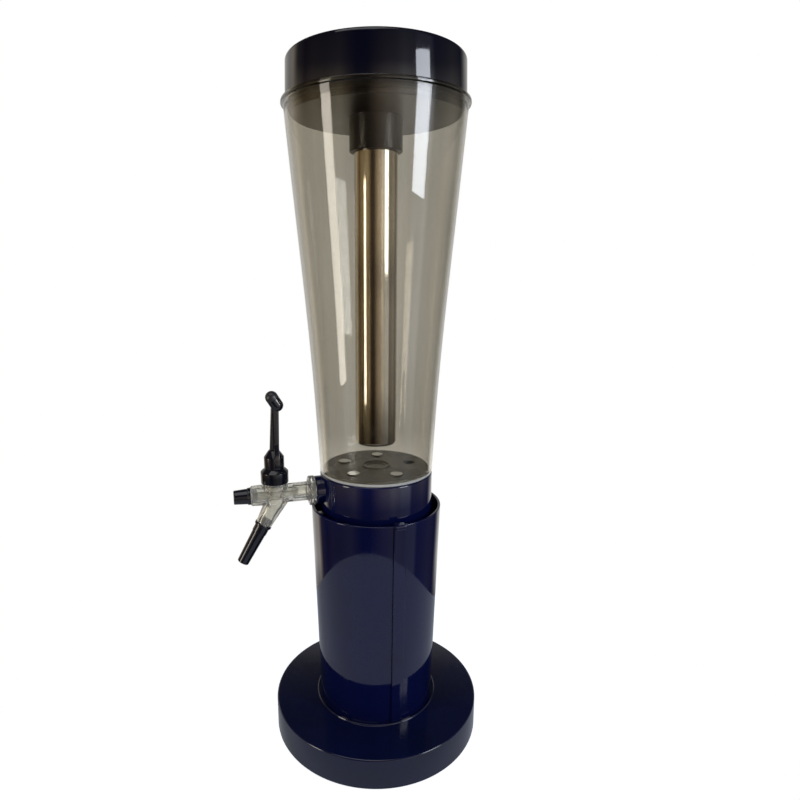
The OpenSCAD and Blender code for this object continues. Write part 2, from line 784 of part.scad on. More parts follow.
// a bar of the stem: its outline seen along the hinge, and its width across
module stem_bar(width, points) {
    on_pot(0) rotate([90, 0, 90]) translate([0, 0, -width / 2]) linear_extrude(height = width) polygon(points);
}

module lever() {
    stem_top = head_rise - head_back * sin(head_tilt);
    rib_half = cup_r + rib_step;
    color(navy) difference() {
        union() {
            on_pot(pivot_rise) sphere(r = ball_r, $fn = small);
            on_pot(0) cylinder(r = finger_r, h = pivot_rise, $fn = small);
            on_pot(0) sphere(r = finger_tip_r, $fn = small);
            on_pot(pivot_rise) cylinder(r = stalk_r, h = cup_rise - pivot_rise, $fn = small);
            difference() {
                union() {
                    on_pot(pivot_rise + cup_low) cylinder(r = cup_r, h = cup_rise - pivot_rise - cup_low, $fn = fine);
                    on_pot(cup_rise - over) cylinder(r1 = cup_r, r2 = cup_neck_r, h = cup_cone, $fn = fine);
                    on_pot(0) translate([0, stem_back_foot, 0]) rotate([90, 0, 0])
                        linear_extrude(height = stem_back_foot + bar_front) polygon([
                            [-rib_half, rib_low], [rib_half, rib_low], [rib_half, cup_rise],
                            [stem_w / 2, cup_rise + rib_rise], [-stem_w / 2, cup_rise + rib_rise],
                            [-rib_half, cup_rise]
                        ]);
                }
                on_pot(pivot_rise) sphere(r = dome_r + cup_gap, $fn = fine);
            }
            stem_bar(stem_w, [
                [stem_back_foot, cup_rise], [stem_back_head, stem_top], [-bar_front, stem_top], [-bar_front, cup_rise]
            ]);
            stem_bar(fin_w, [
                [0, cup_rise], [0, stem_top], [stem_back_head - stem_d_head, stem_top],
                [stem_back_foot - stem_d_foot, cup_rise]
            ]);
            on_head(-head_back) cylinder(r = head_r, h = head_back, $fn = fine);
            on_head(-head_back) sphere(r = head_r, $fn = fine);
        }
        on_head(-cap_peg_len - cap_peg_gap) cylinder(r = cap_peg_r + thread_fit, h = cap_peg_len + cut, $fn = small);
    }
}

module lever_cap() {
    color("darkslategray") union() {
        on_head(0) rotate_extrude($fn = fine) polygon(concat(
            [[0, 0], [head_r, 0]], arc(0, cap_skirt, head_r, 0, 90)));
        on_head(-cap_peg_len) cylinder(r = cap_peg_r, h = cap_peg_len + over, $fn = small);
    }
}

/* ---- valve ---- */

module valve_shaft() {
    head_s = valve_seat_s - washer_t - shaft_head_t;
    color("lightgray") difference() {
        union() {
            on_tap(head_s) cylinder(r = shaft_head_r, h = shaft_head_t, $fn = small);
            on_tap(head_s) cylinder(r = shaft_r, h = pivot_s - head_s, $fn = small);
            on_tap(pivot_s - block_half) cylinder(r = block_r, h = 2 * block_half, $fn = small);
            on_tap(pivot_s + block_half - over) cylinder(r = rod_r, h = rod_len, $fn = small);
            on_tap(pivot_s + block_half + rod_len - 2 * over) cylinder(r = tail_r, h = tail_len, $fn = small);
        }
        translate([-slot_w / 2, -pivot_s, tap_z]) rotate([90, 0, 90])
            linear_extrude(height = slot_w) polygon([
                [slot_half, slot_low], [slot_half, slot_top], [-slot_front, slot_top],
                [-slot_half, 0], [-slot_half, slot_low]
            ]);
    }
}

module seat_washer() {
    color(rubber_black) on_tap(valve_seat_s - washer_t) ring(washer_r, shaft_r, washer_t);
}

/* ---- lid ---- */

module lid_cap() {
    top_r = lid_r - lid_draft;
    hanger_r = insert_wall_r;
    color(navy) rotate_extrude($fn = fine) polygon(concat(
        [[lid_r - cap_foot_edge, rim_top], [lid_r, rim_top + cap_foot_edge]],
        arc(top_r - lid_edge, lid_top - lid_edge, lid_edge, 0, 90, 10),
        [[0, lid_top], [0, lid_top - lid_wall], [hanger_r - lid_wall, lid_top - lid_wall],
         [hanger_r - lid_wall, insert_top], [hanger_r, insert_top],
         [hanger_r, insert_top + shelf_rise + shelf_lean], [lid_r - lid_wall, insert_top + shelf_rise],
         [lid_r - lid_wall, rim_top]]
    ));
}

module lid_insert() {
    color(navy) difference() {
        union() {
            translate([0, 0, insert_z]) rotate_extrude($fn = fine) polygon([
                [0, 0], [insert_wall_r - insert_edge, 0], [insert_wall_r, insert_edge],
                [insert_wall_r, insert_top - insert_z], [insert_wall_r - lid_wall, insert_top - insert_z],
                [insert_wall_r - lid_wall, insert_t], [0, insert_t]
            ]);
            translate([0, 0, socket_z]) cylinder(r = socket_r, h = socket_top - socket_z, $fn = fine);
            around(webs) translate([socket_r - bite, -lid_wall / 2, insert_z + insert_t - over])
                cube([insert_wall_r - lid_wall - socket_r + 2 * bite, lid_wall, web_h]);
        }
        translate([0, 0, socket_z - cut])
            cylinder(r = tube_r + thread_fit, h = tube_mouth + tube_seal_t - socket_z + cut, $fn = fine);
        translate([0, 0, seal_z]) ring(insert_wall_r + cut, insert_wall_r - seal_depth, seal_h);
    }
}

module lid_seal() {
    color(rubber_black) translate([0, 0, seal_z])
        ring(tank_r(seal_z) - tank_wall - fit, insert_wall_r - seal_depth, seal_h);
}

module ice_tube() {
    inner = tube_r - tube_wall;
    color(steel) rotate_extrude($fn = fine) polygon(concat(
        [[0, tube_foot]],
        arc(tube_r - tube_round, tube_foot + tube_round, tube_round, -90, 0),
        [[tube_r, tube_mouth], [inner, tube_mouth]],
        arc(tube_r - tube_round, tube_foot + tube_round, tube_round - tube_wall, 0, -90),
        [[0, tube_foot + tube_wall]]
    ));
}

module tube_seal() {
    color(rubber_black) translate([0, 0, tube_mouth]) ring(tube_r, tube_r - tube_seal_w, tube_seal_t);
}

base_pad();
base_plate();
base_screws();
base_ballast();
base_shell();
core_screws();
column_core();
column_sleeve();
sleeve_clip();
collar();
sump_floor();
tank_gasket();
tank();
tank_floor();
tap_gasket();
tap_nut();
tap_body();
ball_seat();
bonnet_nut();
plug_seal();
front_plug();
spout_nozzle();
lever();
lever_cap();
valve_shaft();
seat_washer();
lid_cap();
lid_insert();
lid_seal();
ice_tube();
tube_seal();
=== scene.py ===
"""Dresses a table-top drinks tower: glossy navy mouldings, a clear flared tank, a steel ice tube and a tap.

Lengths in the classes are in millimetres, in the part's own frame: +Z up, the tap towards -Y.
"""
from __future__ import annotations

import logging
import math
from collections.abc import Callable
from dataclasses import dataclass
from enum import Enum

import bpy
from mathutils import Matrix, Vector


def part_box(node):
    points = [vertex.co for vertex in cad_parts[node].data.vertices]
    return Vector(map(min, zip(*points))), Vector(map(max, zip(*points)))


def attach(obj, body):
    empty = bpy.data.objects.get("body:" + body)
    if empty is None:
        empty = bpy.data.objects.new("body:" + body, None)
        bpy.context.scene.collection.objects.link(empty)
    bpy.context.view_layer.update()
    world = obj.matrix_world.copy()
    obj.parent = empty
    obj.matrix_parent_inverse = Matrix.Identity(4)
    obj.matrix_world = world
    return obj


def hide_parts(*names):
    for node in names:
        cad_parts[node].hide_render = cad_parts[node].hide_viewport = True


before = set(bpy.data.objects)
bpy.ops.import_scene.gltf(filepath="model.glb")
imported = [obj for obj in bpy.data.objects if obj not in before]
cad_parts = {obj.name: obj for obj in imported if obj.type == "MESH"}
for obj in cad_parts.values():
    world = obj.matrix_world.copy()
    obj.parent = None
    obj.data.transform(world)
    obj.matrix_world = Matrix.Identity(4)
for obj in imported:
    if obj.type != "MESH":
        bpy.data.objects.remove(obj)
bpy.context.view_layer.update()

MM = 0.001
FULL_TURN = 2 * math.pi
FINE = 144
SMALL = 64
OVER = 1.0
TINY = 1e-6
UP = Vector((0, 0, 1))
OUT = Vector((0, -1, 0))

log = logging.getLogger("tower")

Point = tuple[float, float]
Corner = tuple[float, float, float]


# ---------------------------------------------------------------- colours and nodes


def srgb(code: str) -> tuple[float, float, float, float]:
    """Turns a hex colour such as "1a2b3c" into linear RGBA.

    Args:
        code: six hex digits, as sRGB.

    Returns:
        The linear red, green, blue and an alpha of 1.
    """
    parts = [int(code[i:i + 2], 16) / 255 for i in (0, 2, 4)]
    linear = [p / 12.92 if p <= 0.04045 else ((p + 0.055) / 1.055) ** 2.4 for p in parts]
    return (*linear, 1.0)


def add(tree: bpy.types.NodeTree, kind: str, inputs: dict | None = None, **settings) -> bpy.types.Node:
    """Adds a node, sets its properties and fills or links its inputs.

    Args:
        tree: the material's node tree.
        kind: the node's type, such as "ShaderNodeTexNoise".
        inputs: input name or index to a value, or to the socket to link from.
        settings: properties of the node.

    Returns:
        The new node.
    """
    made = tree.nodes.new(kind)
    for key, value in settings.items():
        setattr(made, key, value)
    for key, value in (inputs or {}).items():
        if isinstance(value, bpy.types.NodeSocket):
            tree.links.new(value, made.inputs[key])
        else:
            made.inputs[key].default_value = value
    return made


def link(source: bpy.types.NodeSocket, shader: bpy.types.Node, name: str) -> None:
    """Links a socket to a shader's named input."""
    shader.id_data.links.new(source, shader.inputs[name])


def maths(tree: bpy.types.NodeTree, operation: str, *values: float | bpy.types.NodeSocket) -> bpy.types.NodeSocket:
    """Adds a math node.

    Args:
        tree: the node tree.
        operation: the node's operation, such as "MULTIPLY".
        values: numbers or sockets, in the order of the node's inputs.

    Returns:
        The socket with the result.
    """
    return add(tree, "ShaderNodeMath", dict(enumerate(values)), operation=operation).outputs[0]


def per_metre(grain_mm: float) -> float:
    """A noise scale whose features are about this many millimetres across."""
    return 1.0 / (grain_mm * MM)


class Way(Enum):
    """The direction that fine marks run in, as a scale of the piece's coordinates."""

    ROUND = (1.0, 1.0, 14.0)
    UPRIGHT = (1.0, 1.0, 0.05)
    EVEN = (1.0, 1.0, 1.0)


def noise(tree: bpy.types.NodeTree, grain_mm: float, way: Way = Way.EVEN,
          detail: float = 3.0) -> bpy.types.NodeSocket:
    """Adds noise on the piece's own coordinates.

    Args:
        tree: the material's node tree.
        grain_mm: the size of one feature.
        way: the direction that the features are drawn out in.
        detail: octaves of finer noise.

    Returns:
        The socket that gives 0 to 1.
    """
    coords = add(tree, "ShaderNodeTexCoord")
    placed = add(tree, "ShaderNodeMapping", {"Vector": coords.outputs["Object"], "Scale": way.value})
    made = add(tree, "ShaderNodeTexNoise", {
        "Vector": placed.outputs["Vector"], "Scale": per_metre(grain_mm), "Detail": detail,
    })
    return made.outputs["Fac"]


def spread(tree: bpy.types.NodeTree, source: bpy.types.NodeSocket, low: float, high: float,
           at: tuple[float, float] = (0.3, 0.7)) -> bpy.types.NodeSocket:
    """Maps a range of a socket onto low to high.

    Args:
        tree: the node tree.
        source: the socket to map.
        low: the result at the start of the range.
        high: the result at its end.
        at: the range of the source.

    Returns:
        The socket with the result, held between low and high.
    """
    made = add(tree, "ShaderNodeMapRange", {
        "Value": source, "From Min": at[0], "From Max": at[1], "To Min": low, "To Max": high,
    })
    return made.outputs["Result"]


def blend_colours(tree: bpy.types.NodeTree, share: bpy.types.NodeSocket, one: str, two: str) -> bpy.types.NodeSocket:
    """Mixes two hex colours by a share from 0 to 1."""
    made = add(tree, "ShaderNodeMix", {0: share, 6: srgb(one), 7: srgb(two)}, data_type="RGBA")
    return made.outputs[2]


def bumps(tree: bpy.types.NodeTree, source: bpy.types.NodeSocket, height_mm: float,
          under: bpy.types.NodeSocket | None = None) -> bpy.types.NodeSocket:
    """Turns a socket into a surface relief.

    Args:
        tree: the node tree.
        source: the height, from 0 to 1.
        height_mm: the relief's height.
        under: the normal of a coarser relief that this one lies on.

    Returns:
        The socket with the normal.
    """
    inputs = {"Height": source, "Strength": 1.0, "Distance": height_mm * MM}
    if under is not None:
        inputs["Normal"] = under
    return add(tree, "ShaderNodeBump", inputs).outputs["Normal"]


def start_material(name: str) -> tuple[bpy.types.Material, bpy.types.NodeTree, bpy.types.Node]:
    """Makes an empty node material.

    Args:
        name: the material's name.

    Returns:
        The material, its tree and its principled shader.
    """
    made = bpy.data.materials.new(name)
    made.use_nodes = True
    tree = made.node_tree
    tree.nodes.clear()
    shader = add(tree, "ShaderNodeBsdfPrincipled")
    add(tree, "ShaderNodeOutputMaterial", {"Surface": shader.outputs["BSDF"]})
    return made, tree, shader


# ---------------------------------------------------------------- finishes


@dataclass(frozen=True)
class GlossAbs:
    """ABS moulded in a polished mould: near black with a blue depth, sharp reflections and a faint ripple."""

    name: str
    colour: str
    shade: str
    rough: tuple[float, float] = (0.03, 0.075)
    scuff: float = 0.0
    ior: float = 1.53

    def make(self) -> bpy.types.Material:
        """Builds the material."""
        made, tree, shader = start_material(self.name)
        shader.inputs["IOR"].default_value = self.ior
        cloud = spread(tree, noise(tree, 38.0), 0, 1)
        link(blend_colours(tree, cloud, self.colour, self.shade), shader, "Base Color")
        # fingermarks dull the gloss in patches, and handling leaves fine rubs that run round the piece
        handling = spread(tree, noise(tree, 9.0, detail=5.0), *self.rough)
        rubs = spread(tree, noise(tree, 1.6, Way.ROUND, 4.0), 0, self.scuff, (0.5, 0.75))
        link(maths(tree, "ADD", handling, rubs), shader, "Roughness")
        ripple = bumps(tree, noise(tree, 16.0, detail=1.0), 0.012)
        link(bumps(tree, noise(tree, 0.9), 0.0006, ripple), shader, "Normal")
        return made


@dataclass(frozen=True)
class ClearPlastic:
    """Clear moulded plastic: a warm grey cast, polished faces and faint flow lines from the mould."""

    name: str
    cast: str
    shade: str
    rough: float = 0.0
    ior: float = 1.57
    flow_mm: float = 0.012
    way: Way = Way.UPRIGHT
    grain_mm: float = 14.0
    clear: float = 1.0
    patches: Point = (0.3, 0.7)

    def make(self) -> bpy.types.Material:
        """Builds the material."""
        made, tree, shader = start_material(self.name)
        shader.inputs["Transmission Weight"].default_value = self.clear
        shader.inputs["IOR"].default_value = self.ior
        flow = noise(tree, self.grain_mm, self.way, 1.5)
        link(blend_colours(tree, spread(tree, flow, 0, 1, self.patches), self.cast, self.shade), shader, "Base Color")
        # wiping leaves a haze in soft patches
        haze = noise(tree, 22.0, detail=5.0)
        link(spread(tree, haze, self.rough, self.rough + 0.02, (0.55, 0.9)), shader, "Roughness")
        link(bumps(tree, flow, self.flow_mm), shader, "Normal")
        return made


@dataclass(frozen=True)
class PolishedSteel:
    """Drawn stainless steel tube, polished: warm bright metal with faint upright draw lines."""

    name: str = "drawn_stainless_steel_polished"
    colour: str = "e2dcd2"
    shade: str = "cdc5b8"

    def make(self) -> bpy.types.Material:
        """Builds the material."""
        made, tree, shader = start_material(self.name)
        shader.inputs["Metallic"].default_value = 1.0
        lines = noise(tree, 0.6, Way.UPRIGHT, 4.0)
        link(blend_colours(tree, spread(tree, lines, 0, 1), self.colour, self.shade), shader, "Base Color")
        link(spread(tree, lines, 0.05, 0.1), shader, "Roughness")
        waves = bumps(tree, noise(tree, 24.0, Way.UPRIGHT, 1.0), 0.05)
        link(bumps(tree, lines, 0.0008, waves), shader, "Normal")
        return made


@dataclass(frozen=True)
class PlainFinish:
    """A satin moulding, rubber or raw metal: a fine grain and a soft sheen."""

    name: str
    colour: str
    shade: str
    rough: tuple[float, float]
    grain_mm: float
    relief_mm: float = 0.01
    metal: float = 0.0

    def make(self) -> bpy.types.Material:
        """Builds the material."""
        made, tree, shader = start_material(self.name)
        shader.inputs["Metallic"].default_value = self.metal
        grain = noise(tree, self.grain_mm)
        link(blend_colours(tree, spread(tree, grain, 0, 1), self.colour, self.shade), shader, "Base Color")
        link(spread(tree, grain, *self.rough), shader, "Roughness")
        link(bumps(tree, grain, self.relief_mm), shader, "Normal")
        return made


@dataclass(frozen=True)
class SoftSilicone:
    """Natural silicone rubber: milky, slightly see-through and dull."""

    name: str = "natural_silicone_rubber"
    colour: str = "d8d6cc"
    shade: str = "c8c5ba"
    ior: float = 1.41

    def make(self) -> bpy.types.Material:
        """Builds the material."""
        made, tree, shader = start_material(self.name)
        shader.inputs["IOR"].default_value = self.ior
        shader.inputs["Transmission Weight"].default_value = 0.3
        grain = noise(tree, 0.8)
        link(blend_colours(tree, spread(tree, grain, 0, 1), self.colour, self.shade), shader, "Base Color")
        link(spread(tree, grain, 0.4, 0.55), shader, "Roughness")
        link(bumps(tree, grain, 0.008), shader, "Normal")
        return made


FINISHES = {
    "navy_gloss": GlossAbs("moulded_abs_navy_gloss", "0b113e", "090e34"),
    "navy_foot": GlossAbs("moulded_abs_navy_foot", "0b1236", "090f2c", (0.04, 0.1), 0.16),
    "navy_lid": GlossAbs("moulded_abs_navy_lid", "0b0d1e", "090b19"),
    "navy_tap": GlossAbs("moulded_acetal_navy_black", "11131f", "0e1019", (0.05, 0.12)),
    "lid_satin": PlainFinish("moulded_abs_lid_satin", "0a0c18", "080a14", (0.3, 0.42), 0.5, 0.006),
    "navy_satin": PlainFinish("moulded_abs_navy_satin", "080b22", "06081a", (0.4, 0.5), 0.6),
    "clear_tank": ClearPlastic("moulded_acrylic_smoke_grey", "dad8d1", "d3d0c8", ior=1.49),
    "clear_floor": ClearPlastic("moulded_acrylic_worn", "dcdad4", "d4d1ca", 0.015, 1.49, clear=0.8),
    # a pale, half-clear finish that paints a highlight: the bright band at the tank's foot and the bright ring at the
    # floor's edge
    "painted_highlight_edge": ClearPlastic("moulded_acrylic_bonded_edge", "f4f3ee", "e6e4dc", 0.06, 1.49, 0.05, Way.EVEN,
                                2.0, 0.35),
    # dark patches in the drains' walls are painted shade, which breaks the bright flares into scattered glints
    "drilled_edge": ClearPlastic("moulded_acrylic_drilled_painted_shade", "f8f6f0", "14120e", 0.03, 1.49, 0.3, Way.EVEN,
                                 4.2, 0.97, (0.47, 0.55)),
    "clear_tap": ClearPlastic("moulded_polycarbonate_clear", "f7f6ee", "f2f1e6", 0.01, 1.585, 0.02, Way.EVEN, 4.0,
                              0.86),
    "stainless": PolishedSteel(),
    "rubber": PlainFinish("black_epdm_rubber", "141416", "1c1c1e", (0.55, 0.7), 0.5),
    "silicone": SoftSilicone(),
    "nylon": PlainFinish("natural_nylon_turned", "e2e0d8", "d4d1c7", (0.35, 0.45), 0.8),
    "grey_plastic": PlainFinish("moulded_abs_dark_grey_satin", "303136", "26272b", (0.28, 0.4), 0.7),
    "plate_plastic": PlainFinish("moulded_polypropylene_dark", "1b1c20", "232428", (0.45, 0.6), 0.7),
    "zinc_steel": PlainFinish("zinc_plated_steel", "c6c8c8", "b2b4b6", (0.25, 0.4), 0.7, 0.004, 1.0),
    "ballast_iron": PlainFinish("raw_cast_iron", "3a3836", "2c2a28", (0.6, 0.8), 1.2, 0.06, 0.6),
}
MATERIALS: dict[str, bpy.types.Material] = {}


def finish_of(key: str) -> bpy.types.Material:
    """Gives the material of a finish, made once."""
    if key not in MATERIALS:
        MATERIALS[key] = FINISHES[key].make()
    return MATERIALS[key]


# ---------------------------------------------------------------- modelling helpers


def deselect() -> None:
    """Leaves edit mode and selects nothing."""
    if bpy.context.object and bpy.context.object.mode != "OBJECT":
        bpy.ops.object.mode_set(mode="OBJECT")
    bpy.ops.object.select_all(action="DESELECT")


def pick(*objects: bpy.types.Object) -> None:
    """Selects these objects alone and makes the first active."""
    deselect()
    for one in objects:
        one.select_set(True)
    bpy.context.view_layer.objects.active = objects[0]


def settle(piece: bpy.types.Object) -> bpy.types.Object:
    """Applies a piece's place, turn and scale to its mesh."""
    pick(piece)
    bpy.ops.object.transform_apply(location=True, rotation=True, scale=True)
    return piece


def modify(piece: bpy.types.Object, kind: str, **settings) -> bpy.types.Object:
    """Adds a modifier with these settings and applies it."""
    pick(piece)
    made = piece.modifiers.new(kind.lower(), kind)
    for key, value in settings.items():
        setattr(made, key, value)
    bpy.ops.object.modifier_apply(modifier=made.name)
    return piece


def weld(piece: bpy.types.Object) -> bpy.types.Object:
    """Merges doubled points and turns the faces outwards."""
    pick(piece)
    bpy.ops.object.mode_set(mode="EDIT")
    bpy.ops.mesh.select_all(action="SELECT")
    bpy.ops.mesh.remove_doubles(threshold=TINY)
    bpy.ops.mesh.normals_make_consistent(inside=False)
    bpy.ops.object.mode_set(mode="OBJECT")
    return piece


def soften(piece: bpy.types.Object, degrees: float = 32.0) -> bpy.types.Object:
    """Shades smooth across edges flatter than this."""
    pick(piece)
    bpy.ops.object.shade_smooth_by_angle(angle=math.radians(degrees))
    return piece


def round_edges(piece: bpy.types.Object, width: float, segments: int = 3, degrees: float = 40.0) -> bpy.types.Object:
    """Rounds the edges that are sharper than an angle.

    Args:
        piece: the piece to round.
        width: the rounding's width.
        segments: spans across it.
        degrees: the smallest angle between faces that counts as an edge.

    Returns:
        The same piece.
    """
    return modify(piece, "BEVEL", width=width * MM, segments=segments, limit_method="ANGLE",
                  angle_limit=math.radians(degrees))


def filleted(corners: list[Corner], steps: int = 6, closed: bool = False) -> list[Point]:
    """Rounds the corners of an outline.

    Args:
        corners: (radius, height, fillet) for each corner, in millimetres.
        steps: spans in each fillet.
        closed: whether the last corner joins the first, so that both are rounded too.

    Returns:
        The outline's points. A closed one ends where it starts.
    """
    points: list[Point] = []
    count = len(corners)
    for i, (r, z, fillet) in enumerate(corners):
        if fillet <= 0 or (not closed and i in (0, count - 1)):
            points.append((r, z))
            continue
        here = Vector((r, z))
        back = (Vector(corners[i - 1][:2]) - here).normalized()
        ahead = (Vector(corners[(i + 1) % count][:2]) - here).normalized()
        half = back.angle(ahead) / 2
        trim = fillet / math.tan(half)
        centre = here + (back + ahead).normalized() * fillet / math.sin(half)
        first, last = here + back * trim - centre, here + ahead * trim - centre
        turn = math.atan2(first.cross(last), first.dot(last))
        for k in range(steps + 1):
            a = turn * k / steps
            c, s = math.cos(a), math.sin(a)
            points.append((centre.x + first.x * c - first.y * s, centre.y + first.x * s + first.y * c))
    return [*points, points[0]] if closed else points


def arc(radius: float, start: float, end: float, steps: int, centre: Point = (0, 0)) -> list[Point]:
    """Points of an arc.

    Args:
        radius: the arc's radius.
        start: its first angle, in degrees from the first coordinate's axis.
        end: its last angle.
        steps: spans along it.
        centre: its centre.

    Returns:
        The points, both ends included.
    """
    angles = [math.radians(start + (end - start) * k / steps) for k in range(steps + 1)]
    return [(centre[0] + radius * math.cos(a), centre[1] + radius * math.sin(a)) for a in angles]


def threads(radius: float, start: float, end: float, pitch: float = 1.4, depth: float = 0.45) -> list[Point]:
    """The outline of turned thread ridges along a length.

    Args:
        radius: the ridges' outer radius.
        start: where the thread starts.
        end: where it ends.
        pitch: from ridge to ridge.
        depth: from crest to root.

    Returns:
        The outline's points, from start to end.
    """
    count = max(1, int(abs(end - start) / pitch))
    step = (end - start) / count
    points: list[Point] = []
    for k in range(count):
        z = start + step * k
        points += [(radius - depth, z), (radius, z + step * 0.35), (radius, z + step * 0.6)]
    return [*points, (radius - depth, end)]


def draw_outline(name: str, points: list[Point]) -> bpy.types.Object:
    """Draws an outline in the XZ plane by extruding one point, and stays in edit mode.

    Args:
        name: the object's name.
        points: (radius, height) in millimetres.

    Returns:
        The object, in edit mode with all of it selected.
    """
    deselect()
    r, z = points[0]
    bpy.ops.mesh.primitive_plane_add(size=MM, location=(r * MM, 0, z * MM))
    piece = bpy.context.object
    piece.name = name
    piece.data.name = name
    bpy.ops.object.transform_apply(location=True, rotation=True, scale=True)
    bpy.ops.object.mode_set(mode="EDIT")
    bpy.ops.mesh.select_mode(type="VERT")
    bpy.ops.mesh.merge(type="CENTER")
    for next_r, next_z in points[1:]:
        step = ((next_r - r) * MM, 0, (next_z - z) * MM)
        bpy.ops.mesh.extrude_region_move(TRANSFORM_OT_translate={"value": step})
        r, z = next_r, next_z
    bpy.ops.mesh.select_all(action="SELECT")
    return piece


def draw_face(name: str, points: list[Point]) -> bpy.types.Object:
    """Draws a closed outline in the XZ plane and fills it, and stays in edit mode with all of it selected."""
    ends_meet = math.dist(points[0], points[-1]) < TINY
    piece = draw_outline(name, points if ends_meet else [*points, points[0]])
    bpy.ops.mesh.remove_doubles(threshold=TINY)
    bpy.ops.mesh.edge_face_add()
    bpy.ops.mesh.select_all(action="SELECT")
    return piece


def lathe(name: str, points: list[Point], steps: int = FINE) -> bpy.types.Object:
    """Spins an outline of (radius, height) round the Z axis.

    Args:
        name: the object's name.
        points: the outline, in millimetres, from the axis to the axis or closed on itself.
        steps: spans round the turn.

    Returns:
        The closed, smooth-shaded piece.
    """
    piece = draw_outline(name, points)
    bpy.ops.mesh.spin(steps=steps, angle=FULL_TURN, center=(0, 0, 0), axis=(0, 0, 1))
    bpy.ops.object.mode_set(mode="OBJECT")
    return soften(weld(piece))


def rod(name: str, radius: float, low: float, high: float, steps: int = SMALL) -> bpy.types.Object:
    """Turns a round bar on the Z axis, to be united with a piece or cut out of it."""
    return lathe(name, [(0, low), (radius, low), (radius, high), (0, high)], steps)


def sector(name: str, points: list[Point], start: float, end: float, steps: int) -> bpy.types.Object:
    """Sweeps a closed outline round the Z axis from one angle to another.

    Args:
        name: the object's name.
        points: the outline of the section, in millimetres.
        start: the first angle from +X, in degrees.
        end: the last angle.
        steps: spans in the sweep.

    Returns:
        The closed piece.
    """
    piece = draw_face(name, points)
    bpy.ops.mesh.spin(steps=steps, angle=-math.radians(end - start), center=(0, 0, 0), axis=(0, 0, 1))
    bpy.ops.object.mode_set(mode="OBJECT")
    piece.rotation_euler = (0, 0, math.radians(start))
    return weld(settle(piece))


def slab(name: str, points: list[Point], width: float, edge: float = 0.0, turn: float = 0.0) -> bpy.types.Object:
    """Extrudes a closed outline sideways, centred on its own plane.

    Args:
        name: the object's name.
        points: the outline as (sideways, height), in millimetres.
        width: the slab's thickness.
        edge: the rounding of its edges.
        turn: degrees that the slab is turned about the Z axis, from the XZ plane.

    Returns:
        The closed piece.
    """
    piece = draw_face(name, points)
    bpy.ops.mesh.extrude_region_move(TRANSFORM_OT_translate={"value": (0, width * MM, 0)})
    bpy.ops.object.mode_set(mode="OBJECT")
    piece.location = (0, -width / 2 * MM, 0)
    weld(settle(piece))
    if edge > 0:
        round_edges(piece, edge)
    piece.rotation_euler = (0, 0, math.radians(turn))
    return settle(piece)


def aim(piece: bpy.types.Object, start: Vector, way: Vector = UP) -> bpy.types.Object:
    """Moves a piece drawn along +Z so that it starts at a point and runs along a direction.

    Args:
        piece: the piece to move.
        start: where its zero goes, in millimetres.
        way: the direction of its axis.

    Returns:
        The same piece.
    """
    piece.rotation_mode = "QUATERNION"
    piece.rotation_quaternion = UP.rotation_difference(way)
    piece.location = start * MM
    return settle(piece)


def join(name: str, *pieces: bpy.types.Object) -> bpy.types.Object:
    """Joins pieces into one object under this name."""
    pick(*pieces)
    bpy.ops.object.join()
    made = bpy.context.object
    made.name = name
    made.data.name = name
    return made


def combine(piece: bpy.types.Object, how: str, *others: bpy.types.Object) -> bpy.types.Object:
    """Unites a piece with others or cuts them out of it.

    Args:
        piece: the piece that stays.
        how: the boolean's operation, "UNION" or "DIFFERENCE".
        others: the pieces that are used up.

    Returns:
        The same piece.
    """
    for other in others:
        modify(piece, "BOOLEAN", object=other, operation=how, solver="EXACT")
        bpy.data.objects.remove(other)
    return piece


def dress(piece: bpy.types.Object, body: str, finish: str, slot: str, *replaced: str) -> bpy.types.Object:
    """Gives a piece its finish, its body and the nodes it stands for.

    Args:
        piece: the finished piece.
        body: the body that it rides on.
        finish: a key of FINISHES.
        slot: the record's material slot; not used.
        replaced: the nodes that it replaces.

    Returns:
        The same piece.
    """
    piece.data.materials.clear()
    piece.data.materials.append(finish_of(finish))
    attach(piece, body)
    if replaced:
        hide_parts(*replaced)
    log.info("%s: %d faces, rides on %s", piece.name, len(piece.data.polygons), body)
    return piece


def dress_faces(piece: bpy.types.Object, finish: str, test: Callable[[Vector], bool]) -> None:
    """Gives some faces of a dressed piece a finish of their own.

    Args:
        piece: the dressed piece.
        finish: a key of FINISHES.
        test: tells from a face's middle, in millimetres, whether it gets the finish.
    """
    piece.data.materials.append(finish_of(finish))
    for face in piece.data.polygons:
        if test(face.center / MM):
            face.material_index = len(piece.data.materials) - 1


def dress_node(node: str, finish: str) -> None:
    """Gives a carried-over node its finish."""
    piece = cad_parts[node]
    piece.data.materials.clear()
    piece.data.materials.append(finish_of(finish))
    log.info("%s: carried over in %s", node, finish)


def low_mm(node: str) -> Vector:
    """The lowest corner of a node's box, in millimetres."""
    return Vector(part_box(node)[0]) / MM


def high_mm(node: str) -> Vector:
    """The highest corner of a node's box, in millimetres."""
    return Vector(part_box(node)[1]) / MM


def middle_mm(node: str) -> Vector:
    """The middle of a node's box, in millimetres."""
    return (low_mm(node) + high_mm(node)) / 2


# ---------------------------------------------------------------- the tower's parts


